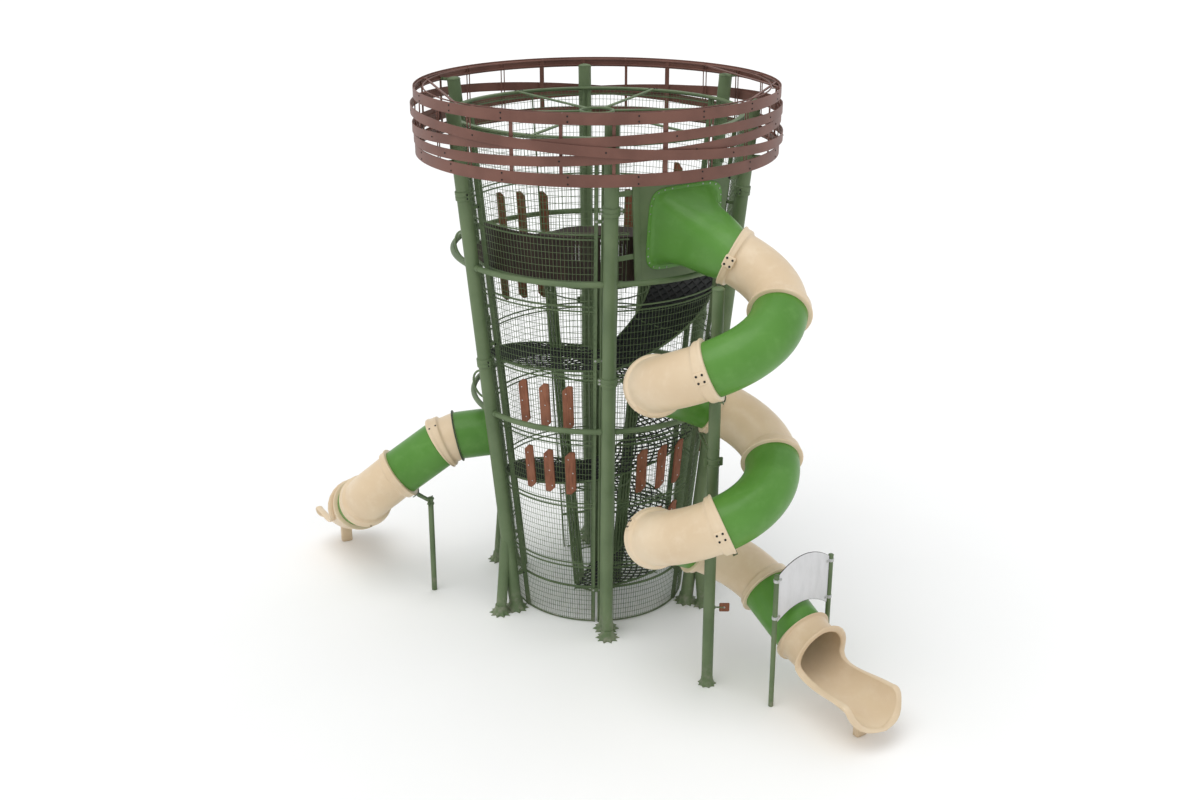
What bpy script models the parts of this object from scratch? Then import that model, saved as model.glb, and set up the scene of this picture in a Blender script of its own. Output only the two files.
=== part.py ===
# Playground climbing tower: six leaning posts, welded mesh skin, two tube
# slides and a crown of woven steel bands. Metres, +Z up.
# The origin is the middle of the footprint, on the ground. +Y points away
# from the front post, +X to its right.
import math

import bmesh
import bpy
from mathutils import Matrix, Vector

# Clearance between touching solids
FIT = 0.0004

# Posts: a hexagon of steel tubes that lean outwards
POST_COUNT = 6
FRONT_POST_ANGLE = math.radians(-85.15)
POST_NAMES = ("post_front", "post_front_right", "post_back_right", "post_back",
              "post_back_left", "post_front_left")
POST_FOOT_RADIUS = 1.622
LEAN = 0.105
POST_HEIGHT = 8.30
POST_TUBE = 0.105
STRUT_FOOT_RADIUS = 1.915
STRUT_TUBE = 0.085
STRUT_TOP = 1.35
FOOT_COLLAR_RADIUS = 0.165
FOOT_COLLAR_HEIGHT = 0.09
COLLAR_RADIUS = 0.126
COLLAR_HEIGHT = 0.14
COLLAR_TURN = math.radians(11.0)
COLLAR_LEVELS = (4.37, 6.98)
ROUND_SIDES = 8

# Ring beams: round tubes that run through the posts
RING_LEVELS = {"ring_beam_lower": 3.54, "ring_beam_upper": 5.89}
RING_TUBE = 0.043
RING_STEPS = 36
RING_SIDES = 6

# Mesh skin: six curved bays of frame tubes inside the posts
BAY_NAMES = ("bay_front_right", "bay_right", "bay_back_right", "bay_back_left", "bay_left",
             "bay_front_left")
BAY_OPTIONS = {"bay_front_right": {"clear": 6, "setbacks": (-0.126, 0.0)},
               "bay_back_left": {"door": True}, "bay_front_left": {"setbacks": (0.0, 0.15)}}
SKIN_FOOT_RADIUS = 1.39
SKIN_TOP = 7.95
SKIN_THICKNESS = 0.026
HOOP_SPACING = 1.097
HOOP_PAIR = 0.100
STILE_WIDTH = 0.062
SKIN_TIP = SKIN_THICKNESS / 2.0 * math.sin(math.atan(LEAN))
ROOF_BAR = 0.030
ROOF_TOP = SKIN_TOP + SKIN_TIP + FIT + ROOF_BAR
ROOF_RADII = (2.235, 2.165, 0.28, 0.22)
STILE_OFFSET = 0.006
BAR_WIDTH = 0.024
BRACKET_LEVELS = (0.62, 4.63, 6.78)
BRACKET_HEIGHT = 0.06
BRACKET_THICKNESS = 0.010

# Doorway at the foot of the left rear bay, from its bar to its left stile
DOOR_HEIGHT = 1.95
DOOR_JAMB = 0.224

# Crown of steel bands
BAND_THICKNESS = 0.012
CROWN_STEPS = 48
CROWN_FRAME_RADIUS = 2.7385
TOP_BAND = (8.24, 8.395)
BOTTOM_BAND = (7.40, 7.575)
WEAVE_HEIGHT = 0.140
UPRIGHT_FLAT = 0.050
LAYER = BAND_THICKNESS + 0.0006
# Layer, mean height and swing of the top edge, and its highest side in degrees
WEAVES = {"crown_weave_inner": (0, 7.882, 0.154, 12.6), "crown_weave_middle": (1, 7.993, 0.167, -34.0),
          "crown_weave_outer": (2, 7.940, 0.210, -174.3)}
CROWN_ARM_LEVELS = (7.49, 8.272)

# Platform, inner cage and net ramp
DECK_TOP = 5.83
DECK_THICKNESS = 0.05
GUARD_HEIGHT = 0.66
GUARD_THICKNESS = 0.030
CORE_FOOT_RADIUS = 0.38
CORE_TOP_RADIUS = 0.86
CORE_BAR = 0.030
CORE_LEG = 0.17
NET_THICKNESS = 0.030
DECK_START = math.radians(25.0)
DECK_SWEEP = math.radians(310.94)
DECK_REAR_RADIUS = 1.42
DECK_REAR = (math.radians(50.0), math.radians(152.0))
GUARD_START = math.radians(205.0)
GUARD_SWEEP = math.radians(81.5)
# Angle in degrees and height of the climbing net along its spiral
RAMP_PATH = ((180.0, 0.22), (320.0, 0.72), (574.0, 2.30), (630.0, 2.55), (760.0, 3.30),
             (934.0, 4.32), (1000.0, 4.42), (1105.0, DECK_TOP - 0.045))
RAMP_STEPS = 50

# Tube slides
TUBE_OUTER = 0.385
TUBE_WALL = 0.010
TUBE_SIDES = 12
BEAD_RADIUS = 0.442
BEAD_LENGTH = 0.060
BEND_STEP = math.radians(30.0)
JOINT_GAP = 0.0004

# Tall slide: starts at the platform, coils clockwise round its post
TALL_POST = Vector((1.64, -3.25, 0.0))
TALL_POST_HEIGHT = 6.15
TALL_POST_TUBE = 0.084
COIL_RADIUS = 0.833
ELBOW = 86.3
ELBOW_DROP = 0.5586
TALL_START = math.radians(74.3)
TALL_TOP = 6.39
TALL_LAST_BEND = (1.03, -70.0, 0.555)
TALL_RUN = (0.78, 0.37)
EXIT_LENGTH = 1.70
EXIT_DROP = 0.29
EXIT_COLLAR = 0.500
EXIT_COLLAR_LENGTH = 0.30
# Degrees of the circle that the trough keeps, from its collar to its round end
EXIT_SWEEPS = (300.0, 300.0, 250.0, 172.0, 152.0, 160.0, 168.0, 160.0, 96.0)
SADDLE = (0.050, 0.160, 0.030)
ARM_TUBE = 0.026
ARM_RISE = 0.12
# Reach of the panel to the front post and to the other post, at its foot and its top
PANEL_REACHES = {-1: (0.69, 0.86), 1: (0.78, 0.95)}
PANEL_THICKNESS = 0.012
LUG_LEVELS = (6.25, 7.20)
PANEL_LOW = 5.80
PANEL_HIGH = 7.38
PANEL_MIDDLE = (PANEL_LOW + PANEL_HIGH) / 2.0
MOUTH_WIDTH = 0.90
MOUTH_LOW = 6.06
MOUTH_HIGH = 7.00
HOOD_WIDTH = 1.32
HOOD_SHIFT = 0.13
HOOD_LOW = 5.98
HOOD_HIGH = 7.21
HOOD_CORNER = 0.36
# Place of each middle ring along the hood, and how far it is drawn in
HOOD_RINGS = ((0.33, 0.34), (0.66, 0.26))

# Low slide: leaves the left bay, dips, then turns to the rear
LOW_ANGLE = math.radians(184.85)
GATE_THICKNESS = 0.012
GATE_WIDTH = 1.05
GATE_HEIGHT = 1.14
GATE_MIDDLE = 2.70
LOW_TOP = 2.81
LOW_FIRST = (0.55, 0.55 * LEAN)
LOW_DIP = (0.30, 0.13)
LOW_RUN = (0.655, 0.48)
LOW_LEAD = (0.14, 0.10)
LOW_TURN = (0.52, -72.0, 0.56)
LOW_STUB = (0.42, 0.22)
LOW_EXIT_LENGTH = 1.45
LOW_EXIT_DROP = 0.50
LOW_POST = Vector((-2.74, -0.30, 0.0))
LOW_POST_HEIGHT = 1.70
LOW_POST_TUBE = 0.045
LOW_PIECES = (("slide_green", ()), ("slide_sand", (1,)), ("slide_green", ()),
              ("slide_sand", (0, 1)), ("slide_green", ()))

# Sign beside the exit of the tall slide
SIGN_FEET = (Vector((2.53, -3.86, 0.0)), Vector((3.388, -3.204, 0.0)))
SIGN_HEIGHT = 2.13
SIGN_TUBE = 0.038
SIGN_LOW = 1.33
SIGN_HIGH = 2.09
SIGN_BOW = 0.21

# Small plate beside the post of the tall slide
WING_LEVEL = 1.285
WING_REACH = 0.14
WING_ARM = 0.012


COLOURS = {
    "steel_green": ((0.115, 0.180, 0.100), 0.45, 0.35),
    "band_brown": ((0.180, 0.085, 0.065), 0.50, 0.25),
    "slide_green": ((0.085, 0.260, 0.045), 0.35, 0.0),
    "slide_sand": ((0.720, 0.580, 0.390), 0.40, 0.0),
    "slat_brown": ((0.035, 0.022, 0.014), 0.60, 0.0),
    "net_black": ((0.020, 0.020, 0.022), 0.85, 0.0),
    "deck_grey": ((0.110, 0.120, 0.105), 0.70, 0.0),
    "panel_white": ((0.800, 0.805, 0.810), 0.35, 0.0),
    "plate_rust": ((0.250, 0.095, 0.050), 0.60, 0.0),
}


def clear_scene():
    for old in list(bpy.data.objects):
        bpy.data.objects.remove(old, do_unlink=True)


def new_collection(name):
    made = bpy.data.collections.new(name)
    bpy.context.scene.collection.children.link(made)
    return made


def make_material(name, finish):
    colour, roughness, metallic = COLOURS[finish]
    mat = bpy.data.materials.new(name + "_" + finish)
    mat.use_nodes = True
    shader = mat.node_tree.nodes["Principled BSDF"]
    shader.inputs["Base Color"].default_value = (*colour, 1.0)
    shader.inputs["Roughness"].default_value = roughness
    shader.inputs["Metallic"].default_value = metallic
    mat.diffuse_color = (*colour, 1.0)
    return mat


def add_object(name, mesh):
    obj = bpy.data.objects.new(name, mesh)
    tower_parts.objects.link(obj)
    return obj


def mesh_from(bm, name):
    mesh = bpy.data.meshes.new(name)
    bm.to_mesh(mesh)
    bm.free()
    return mesh


def evaluated_mesh(obj):
    graph = bpy.context.evaluated_depsgraph_get()
    return bpy.data.meshes.new_from_object(obj.evaluated_get(graph))


def combine(target, other, operation="UNION"):
    """Boolean target with other, keep the result in target, drop other."""
    mod = target.modifiers.new(operation.lower(), "BOOLEAN")
    mod.operation = operation
    mod.solver = "EXACT"
    mod.object = other
    bpy.context.view_layer.update()
    result = evaluated_mesh(target)
    target.modifiers.remove(mod)
    old = target.data
    target.data = result
    bpy.data.meshes.remove(old)
    bpy.data.objects.remove(other, do_unlink=True)
    bpy.context.view_layer.update()
    return target


def finish_object(obj, finish):
    mesh = obj.data
    mesh.materials.clear()
    mesh.materials.append(make_material(obj.name, finish))
    mesh.shade_smooth()
    mesh.set_sharp_from_angle(angle=math.radians(35.0))
    return obj


def ring_point(radius, angle, z):
    return Vector((radius * math.cos(angle), radius * math.sin(angle), z))


def post_radius(z):
    return POST_FOOT_RADIUS + LEAN * z


def strut_radius(z):
    return STRUT_FOOT_RADIUS + (post_radius(STRUT_TOP) + 0.02 - STRUT_FOOT_RADIUS) * z / STRUT_TOP


def skin_radius(z):
    return SKIN_FOOT_RADIUS + LEAN * z


def post_angle(index):
    return FRONT_POST_ANGLE + index * 2.0 * math.pi / POST_COUNT


def upright(name, foot, top, radius, sides=ROUND_SIDES, top_radius=None, turn=0.0):
    """Round post with level ends between two points, leaning as they ask."""
    bm = bmesh.new()
    height = top.z - foot.z
    top_radius = radius if top_radius is None else top_radius
    bmesh.ops.create_cone(bm, cap_ends=True, segments=sides, radius1=radius,
                          radius2=top_radius, depth=height)
    bmesh.ops.rotate(bm, verts=bm.verts, matrix=Matrix.Rotation(turn, 3, "Z"))
    for vert in bm.verts:
        share = vert.co.z / height + 0.5
        offset = foot.lerp(top, share)
        vert.co = Vector((vert.co.x + offset.x, vert.co.y + offset.y, offset.z))
    return add_object(name, mesh_from(bm, name))


def block(name, size, centre, turn=0.0):
    """Box of the given size, turned about Z."""
    bm = bmesh.new()
    bmesh.ops.create_cube(bm, size=1.0)
    bmesh.ops.scale(bm, vec=Vector(size), verts=bm.verts)
    bmesh.ops.rotate(bm, verts=bm.verts, matrix=Matrix.Rotation(turn, 3, "Z"))
    bmesh.ops.translate(bm, vec=Vector(centre), verts=bm.verts)
    return add_object(name, mesh_from(bm, name))


def rod(name, start, end, radius, sides=RING_SIDES):
    """Round bar between two points."""
    start = Vector(start)
    end = Vector(end)
    run = end - start
    bm = bmesh.new()
    bmesh.ops.create_cone(bm, cap_ends=True, segments=sides, radius1=radius,
                          radius2=radius, depth=run.length)
    aim = run.to_track_quat("Z", "Y").to_matrix()
    bmesh.ops.rotate(bm, verts=bm.verts, matrix=aim)
    bmesh.ops.translate(bm, vec=(start + end) / 2.0, verts=bm.verts)
    return add_object(name, mesh_from(bm, name))


def solidify(obj, thickness, offset=0.0):
    mod = obj.modifiers.new("wall", "SOLIDIFY")
    mod.thickness = thickness
    mod.offset = offset
    mod.use_even_offset = True
    return obj


def grid_sheet(name, columns, rows, place, solid, closed=False):
    """Open surface over a grid of cells. place(column, row) gives a point,
    solid(i, j) says which cells are filled, closed joins the last column
    to the first."""
    bm = bmesh.new()
    grid = [[bm.verts.new(place(c, r)) for r in rows] for c in columns]
    spans = len(columns) if closed else len(columns) - 1
    for i in range(spans):
        right = grid[(i + 1) % len(columns)]
        for j in range(len(rows) - 1):
            if solid(i, j):
                bm.faces.new((grid[i][j], right[j], right[j + 1], grid[i][j + 1]))
    loose = [v for v in bm.verts if not v.link_faces]
    bmesh.ops.delete(bm, geom=loose, context="VERTS")
    return add_object(name, mesh_from(bm, name))


def loft(name, rings):
    """Closed body through a loop of rings: out along the outer wall and
    back along the inner wall."""
    bm = bmesh.new()
    loops = [[bm.verts.new(p) for p in ring] for ring in rings]
    sides = len(loops[0])
    for near, far in zip(loops, loops[1:] + loops[:1]):
        for k in range(sides):
            nxt = (k + 1) % sides
            bm.faces.new((near[k], near[nxt], far[nxt], far[k]))
    bmesh.ops.recalc_face_normals(bm, faces=bm.faces)
    return add_object(name, mesh_from(bm, name))


# Posts

def post_parts(index):
    """One post with its strut, foot collars, clamps and brackets."""
    angle = post_angle(index)
    name = POST_NAMES[index]
    turn = angle + math.pi / ROUND_SIDES
    post = upright(name, ring_point(post_radius(0.0), angle, 0.0),
                   ring_point(post_radius(POST_HEIGHT), angle, POST_HEIGHT),
                   POST_TUBE, turn=turn)
    strut = upright("strut", ring_point(STRUT_FOOT_RADIUS, angle, 0.0),
                    ring_point(strut_radius(STRUT_TOP), angle, STRUT_TOP),
                    STRUT_TUBE, turn=turn)
    combine(post, strut)
    for radius in (POST_FOOT_RADIUS, STRUT_FOOT_RADIUS):
        collar = upright("collar", ring_point(radius, angle, 0.0),
                         ring_point(radius, angle, FOOT_COLLAR_HEIGHT),
                         FOOT_COLLAR_RADIUS, top_radius=POST_TUBE, turn=turn + COLLAR_TURN)
        combine(post, collar)
    for level in COLLAR_LEVELS:
        low = level - COLLAR_HEIGHT / 2.0
        high = level + COLLAR_HEIGHT / 2.0
        clamp = upright("clamp", ring_point(post_radius(low), angle, low),
                        ring_point(post_radius(high), angle, high),
                        COLLAR_RADIUS, turn=turn + COLLAR_TURN)
        combine(post, clamp)
    for level in CROWN_ARM_LEVELS:
        add_crown_bracket(post, angle, level)
    for level in BRACKET_LEVELS:
        setback = BAY_OPTIONS.get(BAY_NAMES[index - 1], {}).get("setbacks", (0.0, 0.0))[1]
        add_skin_bracket(post, angle, level, setback)
    if index in (0, 1):
        for level in LUG_LEVELS:
            add_panel_lug(post, -1.0 if index == 0 else 1.0, level)
    for level in RING_LEVELS.values():
        combine(post, ring_tube("hole", level, RING_TUBE + 2.0 * FIT), "DIFFERENCE")
    return finish_object(post, "steel_green")


def add_crown_bracket(post, angle, level):
    """Flat arm from the post out to the crown's inner frame."""
    start = post_radius(level)
    end = CROWN_FRAME_RADIUS * math.cos(math.pi / CROWN_STEPS) - BAND_THICKNESS - 2.0 * FIT
    arm = block("arm", (end - start, 0.06, 0.05), ring_point((start + end) / 2.0, angle, level),
                turn=angle)
    combine(post, arm)


def add_skin_bracket(post, angle, level, setback=0.0):
    """Cross plate and short arm that hold the frames of two bays."""
    high = level + BRACKET_HEIGHT / 2.0
    skin_face = skin_radius(high) + SKIN_THICKNESS / 2.0
    inner = skin_face * math.cos(math.asin(STILE_OFFSET / skin_radius(high))) + 2.0 * FIT
    width = 2.0 * (STILE_OFFSET + STILE_WIDTH) + setback
    middle = ring_point(inner + BRACKET_THICKNESS / 2.0, angle, level)
    aside = Vector((math.sin(angle), -math.cos(angle), 0.0)) * setback / 2.0
    plate = block("plate", (BRACKET_THICKNESS, width, BRACKET_HEIGHT), middle + aside, turn=angle)
    combine(post, plate)
    reach = post_radius(level) - inner - BRACKET_THICKNESS / 2.0
    arm = block("arm", (reach, 0.05, BRACKET_HEIGHT * 0.8),
                ring_point(inner + BRACKET_THICKNESS / 2.0 + reach / 2.0, angle, level), turn=angle)
    combine(post, arm)


def panel_place(z):
    """Matrix of the leaning plane through the two posts at the panel."""
    angle = post_angle(0) + math.pi / POST_COUNT
    radius = post_radius(z) * math.cos(math.pi / POST_COUNT)
    lean = math.atan(LEAN * math.cos(math.pi / POST_COUNT))
    return (Matrix.Translation(ring_point(radius, angle, z)) @ Matrix.Rotation(angle, 4, "Z")
            @ Matrix.Rotation(lean, 4, "Y"))


def add_panel_lug(post, side, level):
    """Flat lug behind the edge of the entrance panel."""
    reach = post_radius(level) * math.sin(math.pi / POST_COUNT)
    inner = panel_reach(side, level) - 0.05
    lug = block("lug", (PANEL_THICKNESS, reach - inner, 0.08),
                (-PANEL_THICKNESS - FIT, side * (reach + inner) / 2.0, 0.0))
    lug.data.transform(panel_place(level))
    combine(post, lug)


def panel_reach(side, z):
    low, high = PANEL_REACHES[side]
    return low + (high - low) * (z - PANEL_LOW) / (PANEL_HIGH - PANEL_LOW)


def ring_tube(name, level, tube):
    """Full ring of round tube on the circle of the posts."""
    bm = bmesh.new()
    bmesh.ops.create_circle(bm, segments=RING_SIDES, radius=tube)
    bmesh.ops.rotate(bm, verts=bm.verts, matrix=Matrix.Rotation(math.pi / 2.0, 3, "X"))
    bmesh.ops.translate(bm, verts=bm.verts, vec=(post_radius(level), 0.0, level))
    bmesh.ops.rotate(bm, verts=bm.verts,
                     matrix=Matrix.Rotation(FRONT_POST_ANGLE + math.pi / RING_STEPS, 3, "Z"))
    bmesh.ops.spin(bm, geom=bm.verts[:] + bm.edges[:], cent=(0.0, 0.0, 0.0), axis=(0.0, 0.0, 1.0),
                   angle=2.0 * math.pi, steps=RING_STEPS, use_merge=True)
    bmesh.ops.remove_doubles(bm, verts=bm.verts, dist=0.0001)
    bmesh.ops.recalc_face_normals(bm, faces=bm.faces)
    return add_object(name, mesh_from(bm, name))


# Mesh skin

def hoop_levels():
    """Lower and upper edge of each hoop pair, from the ground to the rim."""
    rails = [(SKIN_TIP, HOOP_PAIR / 2.0)]
    for k in range(1, 7):
        middle = k * HOOP_SPACING - 0.045
        rails.append((middle - HOOP_PAIR / 2.0, middle + HOOP_PAIR / 2.0))
    rails.append((SKIN_TOP - HOOP_PAIR, SKIN_TOP))
    return rails


def bay_sheet(name, index, clear=None, setbacks=(0.0, 0.0), door=False):
    """Curved frame of one bay: two stiles with hoops between them.
    clear is the first hoop that gives way to the entrance panel, setbacks
    move the two stiles in from their posts, door adds a bar and a doorway."""
    centre = post_angle(index) + math.pi / POST_COUNT
    rows = [z for rail in hoop_levels() for z in rail]
    stile = STILE_WIDTH

    def place(column, z):
        radius = skin_radius(z)
        side, inset = column
        offset = STILE_OFFSET + setbacks[0 if side < 0.0 else 1]
        half = math.pi / POST_COUNT - math.asin(offset / radius)
        return ring_point(radius, centre + side * half - inset / radius, z)

    middle = [(0.0, DOOR_JAMB + BAR_WIDTH), (0.0, DOOR_JAMB), (0.35, 0.0)] if door else [
        (0.0, 0.0), (0.5, 0.0)]
    columns = [(-1.0, 0.0), (-1.0, -stile), (-0.5, 0.0)] + middle + [(1.0, stile), (1.0, 0.0)]
    last = len(columns) - 2
    upright_columns = (0, 3, last) if door else (0, last)

    def solid(i, j):
        if door and rows[j] < DOOR_HEIGHT and i in (4, 5):
            return False
        if clear and 2 * clear - 1 <= j < len(rows) - 2 and 0 < i < last:
            return False
        return j % 2 == 0 or i in upright_columns

    return grid_sheet(name, columns, rows, place, solid)


def skin_bay(name, index, **options):
    bay = bay_sheet(name, index, **options)
    solidify(bay, SKIN_THICKNESS)
    return finish_object(bay, "steel_green")


# Crown

def crown_columns(steps=CROWN_STEPS):
    step = 2.0 * math.pi / steps
    return [FRONT_POST_ANGLE + step / 2.0 + k * step for k in range(steps)]


def crown_band(name, outer, height, level):
    """Flat band. level(angle) gives its lower edge."""
    def place(angle, share):
        return ring_point(outer, angle, level(angle) + share * height)

    band = grid_sheet(name, crown_columns(), (0.0, 1.0), place, lambda i, j: True, closed=True)
    solidify(band, BAND_THICKNESS, offset=-1.0)
    return finish_object(band, "band_brown")


def weave(name, layer, mean, swing, phase):
    """One tilted band of the crown. mean and swing are of its top edge."""
    outer = CROWN_FRAME_RADIUS + BAND_THICKNESS + FIT + layer * LAYER

    def level(angle):
        return mean - WEAVE_HEIGHT + swing * math.cos(angle - math.radians(phase))

    return crown_band(name, outer, WEAVE_HEIGHT, level)


def crown_frame():
    """Two inner rails with twenty-four uprights that carry the bands."""
    rows = (BOTTOM_BAND[0] + 0.02, BOTTOM_BAND[1] - 0.02, TOP_BAND[0] + 0.02, TOP_BAND[1] - 0.02)
    corners = crown_columns()
    facet = 2.0 * CROWN_FRAME_RADIUS * math.sin(math.pi / CROWN_STEPS)
    columns = []
    half = UPRIGHT_FLAT / facet / 2.0
    for k in range(CROWN_STEPS):
        columns.append((k, 0.0))
        if k % 2 == 1:
            columns += [(k, 0.5 - half), (k, 0.5 + half)]

    def place(column, z):
        k, share = column
        near = ring_point(CROWN_FRAME_RADIUS, corners[k], z)
        far = ring_point(CROWN_FRAME_RADIUS, corners[(k + 1) % CROWN_STEPS], z)
        return near.lerp(far, share)

    def solid(i, j):
        return j != 1 or i % 4 == 2

    frame = grid_sheet("crown_frame", columns, rows, place, solid, closed=True)
    solidify(frame, BAND_THICKNESS, offset=-1.0)
    return finish_object(frame, "band_brown")


# Roof, deck, guard and core

def flat_ring(name, spokes, radii, z, thickness, finish):
    """Level wheel: inner rail, outer rail and spokes."""
    steps = 36
    columns = []
    per = steps // spokes
    half = 0.035
    for k in range(steps):
        angle = FRONT_POST_ANGLE + math.pi / spokes + k * 2.0 * math.pi / steps
        columns.append((angle, 0.0))
        if k % per == 0:
            columns.append((angle, 2.0 * half))

    def place(column, radius):
        return ring_point(radius, column[0] + column[1] / radius, z)

    def solid(i, j):
        return j != 1 or i % (per + 1) == 0

    wheel = grid_sheet(name, columns, radii, place, solid, closed=True)
    solidify(wheel, thickness, offset=-1.0)
    return finish_object(wheel, finish)


def deck_radius():
    """Reach of the platform: its edge meets the entrance panel's foot."""
    corner = Vector((-PANEL_THICKNESS / 2.0, 0.0, PANEL_LOW - PANEL_MIDDLE))
    return (panel_place(PANEL_MIDDLE) @ corner).xy.length - FIT


def deck():
    """Round platform, set back at the rear, with a gap that the net ramp
    comes up through."""
    steps = 20
    outer = deck_radius()
    inner = CORE_TOP_RADIUS - 0.05
    columns = [DECK_START + DECK_SWEEP * k / steps for k in range(steps + 1)]

    def place(angle, share):
        rear = DECK_REAR[0] < angle < DECK_REAR[1]
        radius = inner + ((DECK_REAR_RADIUS if rear else outer) - inner) * share
        return ring_point(radius, angle + 2.0 * FIT / radius, DECK_TOP)

    plate = grid_sheet("deck", columns, (1.0, 0.0), place, lambda i, j: True)
    solidify(plate, DECK_THICKNESS, offset=-1.0)
    return finish_object(plate, "deck_grey")


def guard():
    """Slatted guard along the front left edge of the deck."""
    outer = deck_radius() - 0.015
    steps = 8
    columns = [GUARD_START + GUARD_SWEEP * k / steps for k in range(steps + 1)]
    rows = (DECK_TOP + FIT, DECK_TOP + GUARD_HEIGHT)

    def place(angle, z):
        return ring_point(outer, angle, z)

    wall = grid_sheet("slat_guard", columns, rows, place, lambda i, j: True)
    solidify(wall, GUARD_THICKNESS, offset=-1.0)
    return finish_object(wall, "slat_brown")


def core_radius(z):
    return CORE_FOOT_RADIUS + (CORE_TOP_RADIUS - CORE_FOOT_RADIUS) * z / (DECK_TOP - DECK_THICKNESS)


def core_cage():
    """Tapered inner cage of four broad legs and four rails."""
    tip = CORE_BAR / 2.0 * math.sin(math.atan(core_radius(1.0) - core_radius(0.0)))
    top = DECK_TOP - DECK_THICKNESS - FIT - tip
    rail = 0.04
    rows = []
    for k in range(4):
        z = top * k / 3.0
        low = min(max(z - rail / 2.0, tip), top - rail)
        rows += [low, low + rail]
    columns = []
    for k in range(4):
        angle = FRONT_POST_ANGLE + k * math.pi / 2.0
        columns += [(angle, -CORE_LEG / 2.0), (angle, CORE_LEG / 2.0),
                    (angle + math.pi / 6.0, 0.0), (angle + math.pi / 3.0, 0.0)]

    def place(column, z):
        radius = core_radius(z)
        return ring_point(radius, column[0] + column[1] / radius, z)

    def solid(i, j):
        return j % 2 == 0 or i % 4 == 0

    cage = grid_sheet("core_cage", columns, rows, place, solid, closed=True)
    solidify(cage, CORE_BAR)
    return finish_object(cage, "steel_green")


def ramp_height(angle):
    """Height of the climbing net along its spiral, by straight stretches."""
    for (a0, z0), (a1, z1) in zip(RAMP_PATH, RAMP_PATH[1:]):
        if angle <= a1:
            return z0 + (z1 - z0) * (angle - a0) / (a1 - a0)
    return RAMP_PATH[-1][1]


def net_ramp(name, first, last):
    """Part of the spiral climbing net between the core and the skin, from
    one step of the spiral to another."""
    start = RAMP_PATH[0][0]
    turn = (RAMP_PATH[-1][0] - start) / RAMP_STEPS
    columns = [start + turn * k for k in range(first, last + 1)]
    if first:
        columns[0] += math.degrees(2.0 * FIT)
    flare = 1.0 / math.cos(math.radians(turn / 2.0))

    def place(column, share):
        z = ramp_height(column)
        inner = (core_radius(z + NET_THICKNESS) + CORE_BAR / 2.0 + 4.0 * FIT) * flare
        outer = skin_radius(z) - 0.09
        return ring_point(inner + (outer - inner) * share, math.radians(column), z)

    net = grid_sheet(name, columns, (1.0, 0.0), place, lambda i, j: True)
    solidify(net, NET_THICKNESS, offset=1.0)
    return finish_object(net, "net_black")


# Tube slides

class Path:
    """Plan route with a drop, walked piece by piece."""

    def __init__(self, start, heading):
        self.points = [Vector(start)]
        self.heading = math.radians(heading)
        self.joints = [0]

    def bend(self, radius, turn, drop, step=BEND_STEP, joint=True):
        """Turn by an angle in degrees, positive to the left."""
        turn = math.radians(turn)
        count = max(1, round(abs(turn) / step))
        for _ in range(count):
            part = turn / count
            chord = 2.0 * radius * math.sin(abs(part) / 2.0)
            aim = self.heading + part / 2.0
            last = self.points[-1]
            self.points.append(last + Vector((chord * math.cos(aim), chord * math.sin(aim),
                                              -drop / count)))
            self.heading += part
        if joint:
            self.joints.append(len(self.points) - 1)

    def straight(self, length, drop, count=1, joint=True):
        for _ in range(count):
            run = length / count
            self.points.append(self.points[-1] + Vector((run * math.cos(self.heading),
                                                         run * math.sin(self.heading),
                                                         -drop / count)))
        if joint:
            self.joints.append(len(self.points) - 1)

    def runout(self, length, drop, count=8):
        """Level out over the last stretch, most of the drop at the start."""
        start = self.points[-1]
        for k in range(1, count + 1):
            share = k / count
            fall = drop * (1.0 - (1.0 - share) ** 2)
            self.points.append(start + Vector((share * length * math.cos(self.heading),
                                               share * length * math.sin(self.heading), -fall)))
        self.joints.append(len(self.points) - 1)

    def tangent(self, index):
        low = max(index - 1, 0)
        high = min(index + 1, len(self.points) - 1)
        return (self.points[high] - self.points[low]).normalized()


def section(centre, tangent, radius, sides=TUBE_SIDES):
    """Ring of points square to the route, first point level to the side."""
    side = tangent.cross(Vector((0.0, 0.0, 1.0))).normalized()
    up = side.cross(tangent)
    ring = []
    for k in range(sides):
        angle = 2.0 * math.pi * (k + 0.5) / sides
        ring.append(centre + radius * (math.cos(angle) * side + math.sin(angle) * up))
    return ring


def tube_piece(name, path, index, beads, finish):
    """One moulded tube between two joints. beads names the ends, 0 and 1,
    that carry a raised collar."""
    first = path.joints[index]
    last = path.joints[index + 1]
    stations = [(path.points[k], path.tangent(k)) for k in range(first, last + 1)]
    start = (stations[0][0] + stations[0][1] * JOINT_GAP, stations[0][1])
    end = (stations[-1][0] - stations[-1][1] * JOINT_GAP, stations[-1][1])
    middle = stations[1:-1]
    outer = []
    if 0 in beads:
        inset = (start[0] + start[1] * BEAD_LENGTH, start[1])
        outer += [section(*start, BEAD_RADIUS), section(*inset, BEAD_RADIUS),
                  section(*inset, TUBE_OUTER)]
    else:
        outer.append(section(*start, TUBE_OUTER))
    outer += [section(*s, TUBE_OUTER) for s in middle]
    if 1 in beads:
        inset = (end[0] - end[1] * BEAD_LENGTH, end[1])
        outer += [section(*inset, TUBE_OUTER), section(*inset, BEAD_RADIUS),
                  section(*end, BEAD_RADIUS)]
    else:
        outer.append(section(*end, TUBE_OUTER))
    inner = [section(*s, TUBE_OUTER - TUBE_WALL) for s in [end] + middle[::-1] + [start]]
    piece = loft(name, outer + inner)
    return finish_object(piece, finish)


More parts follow.
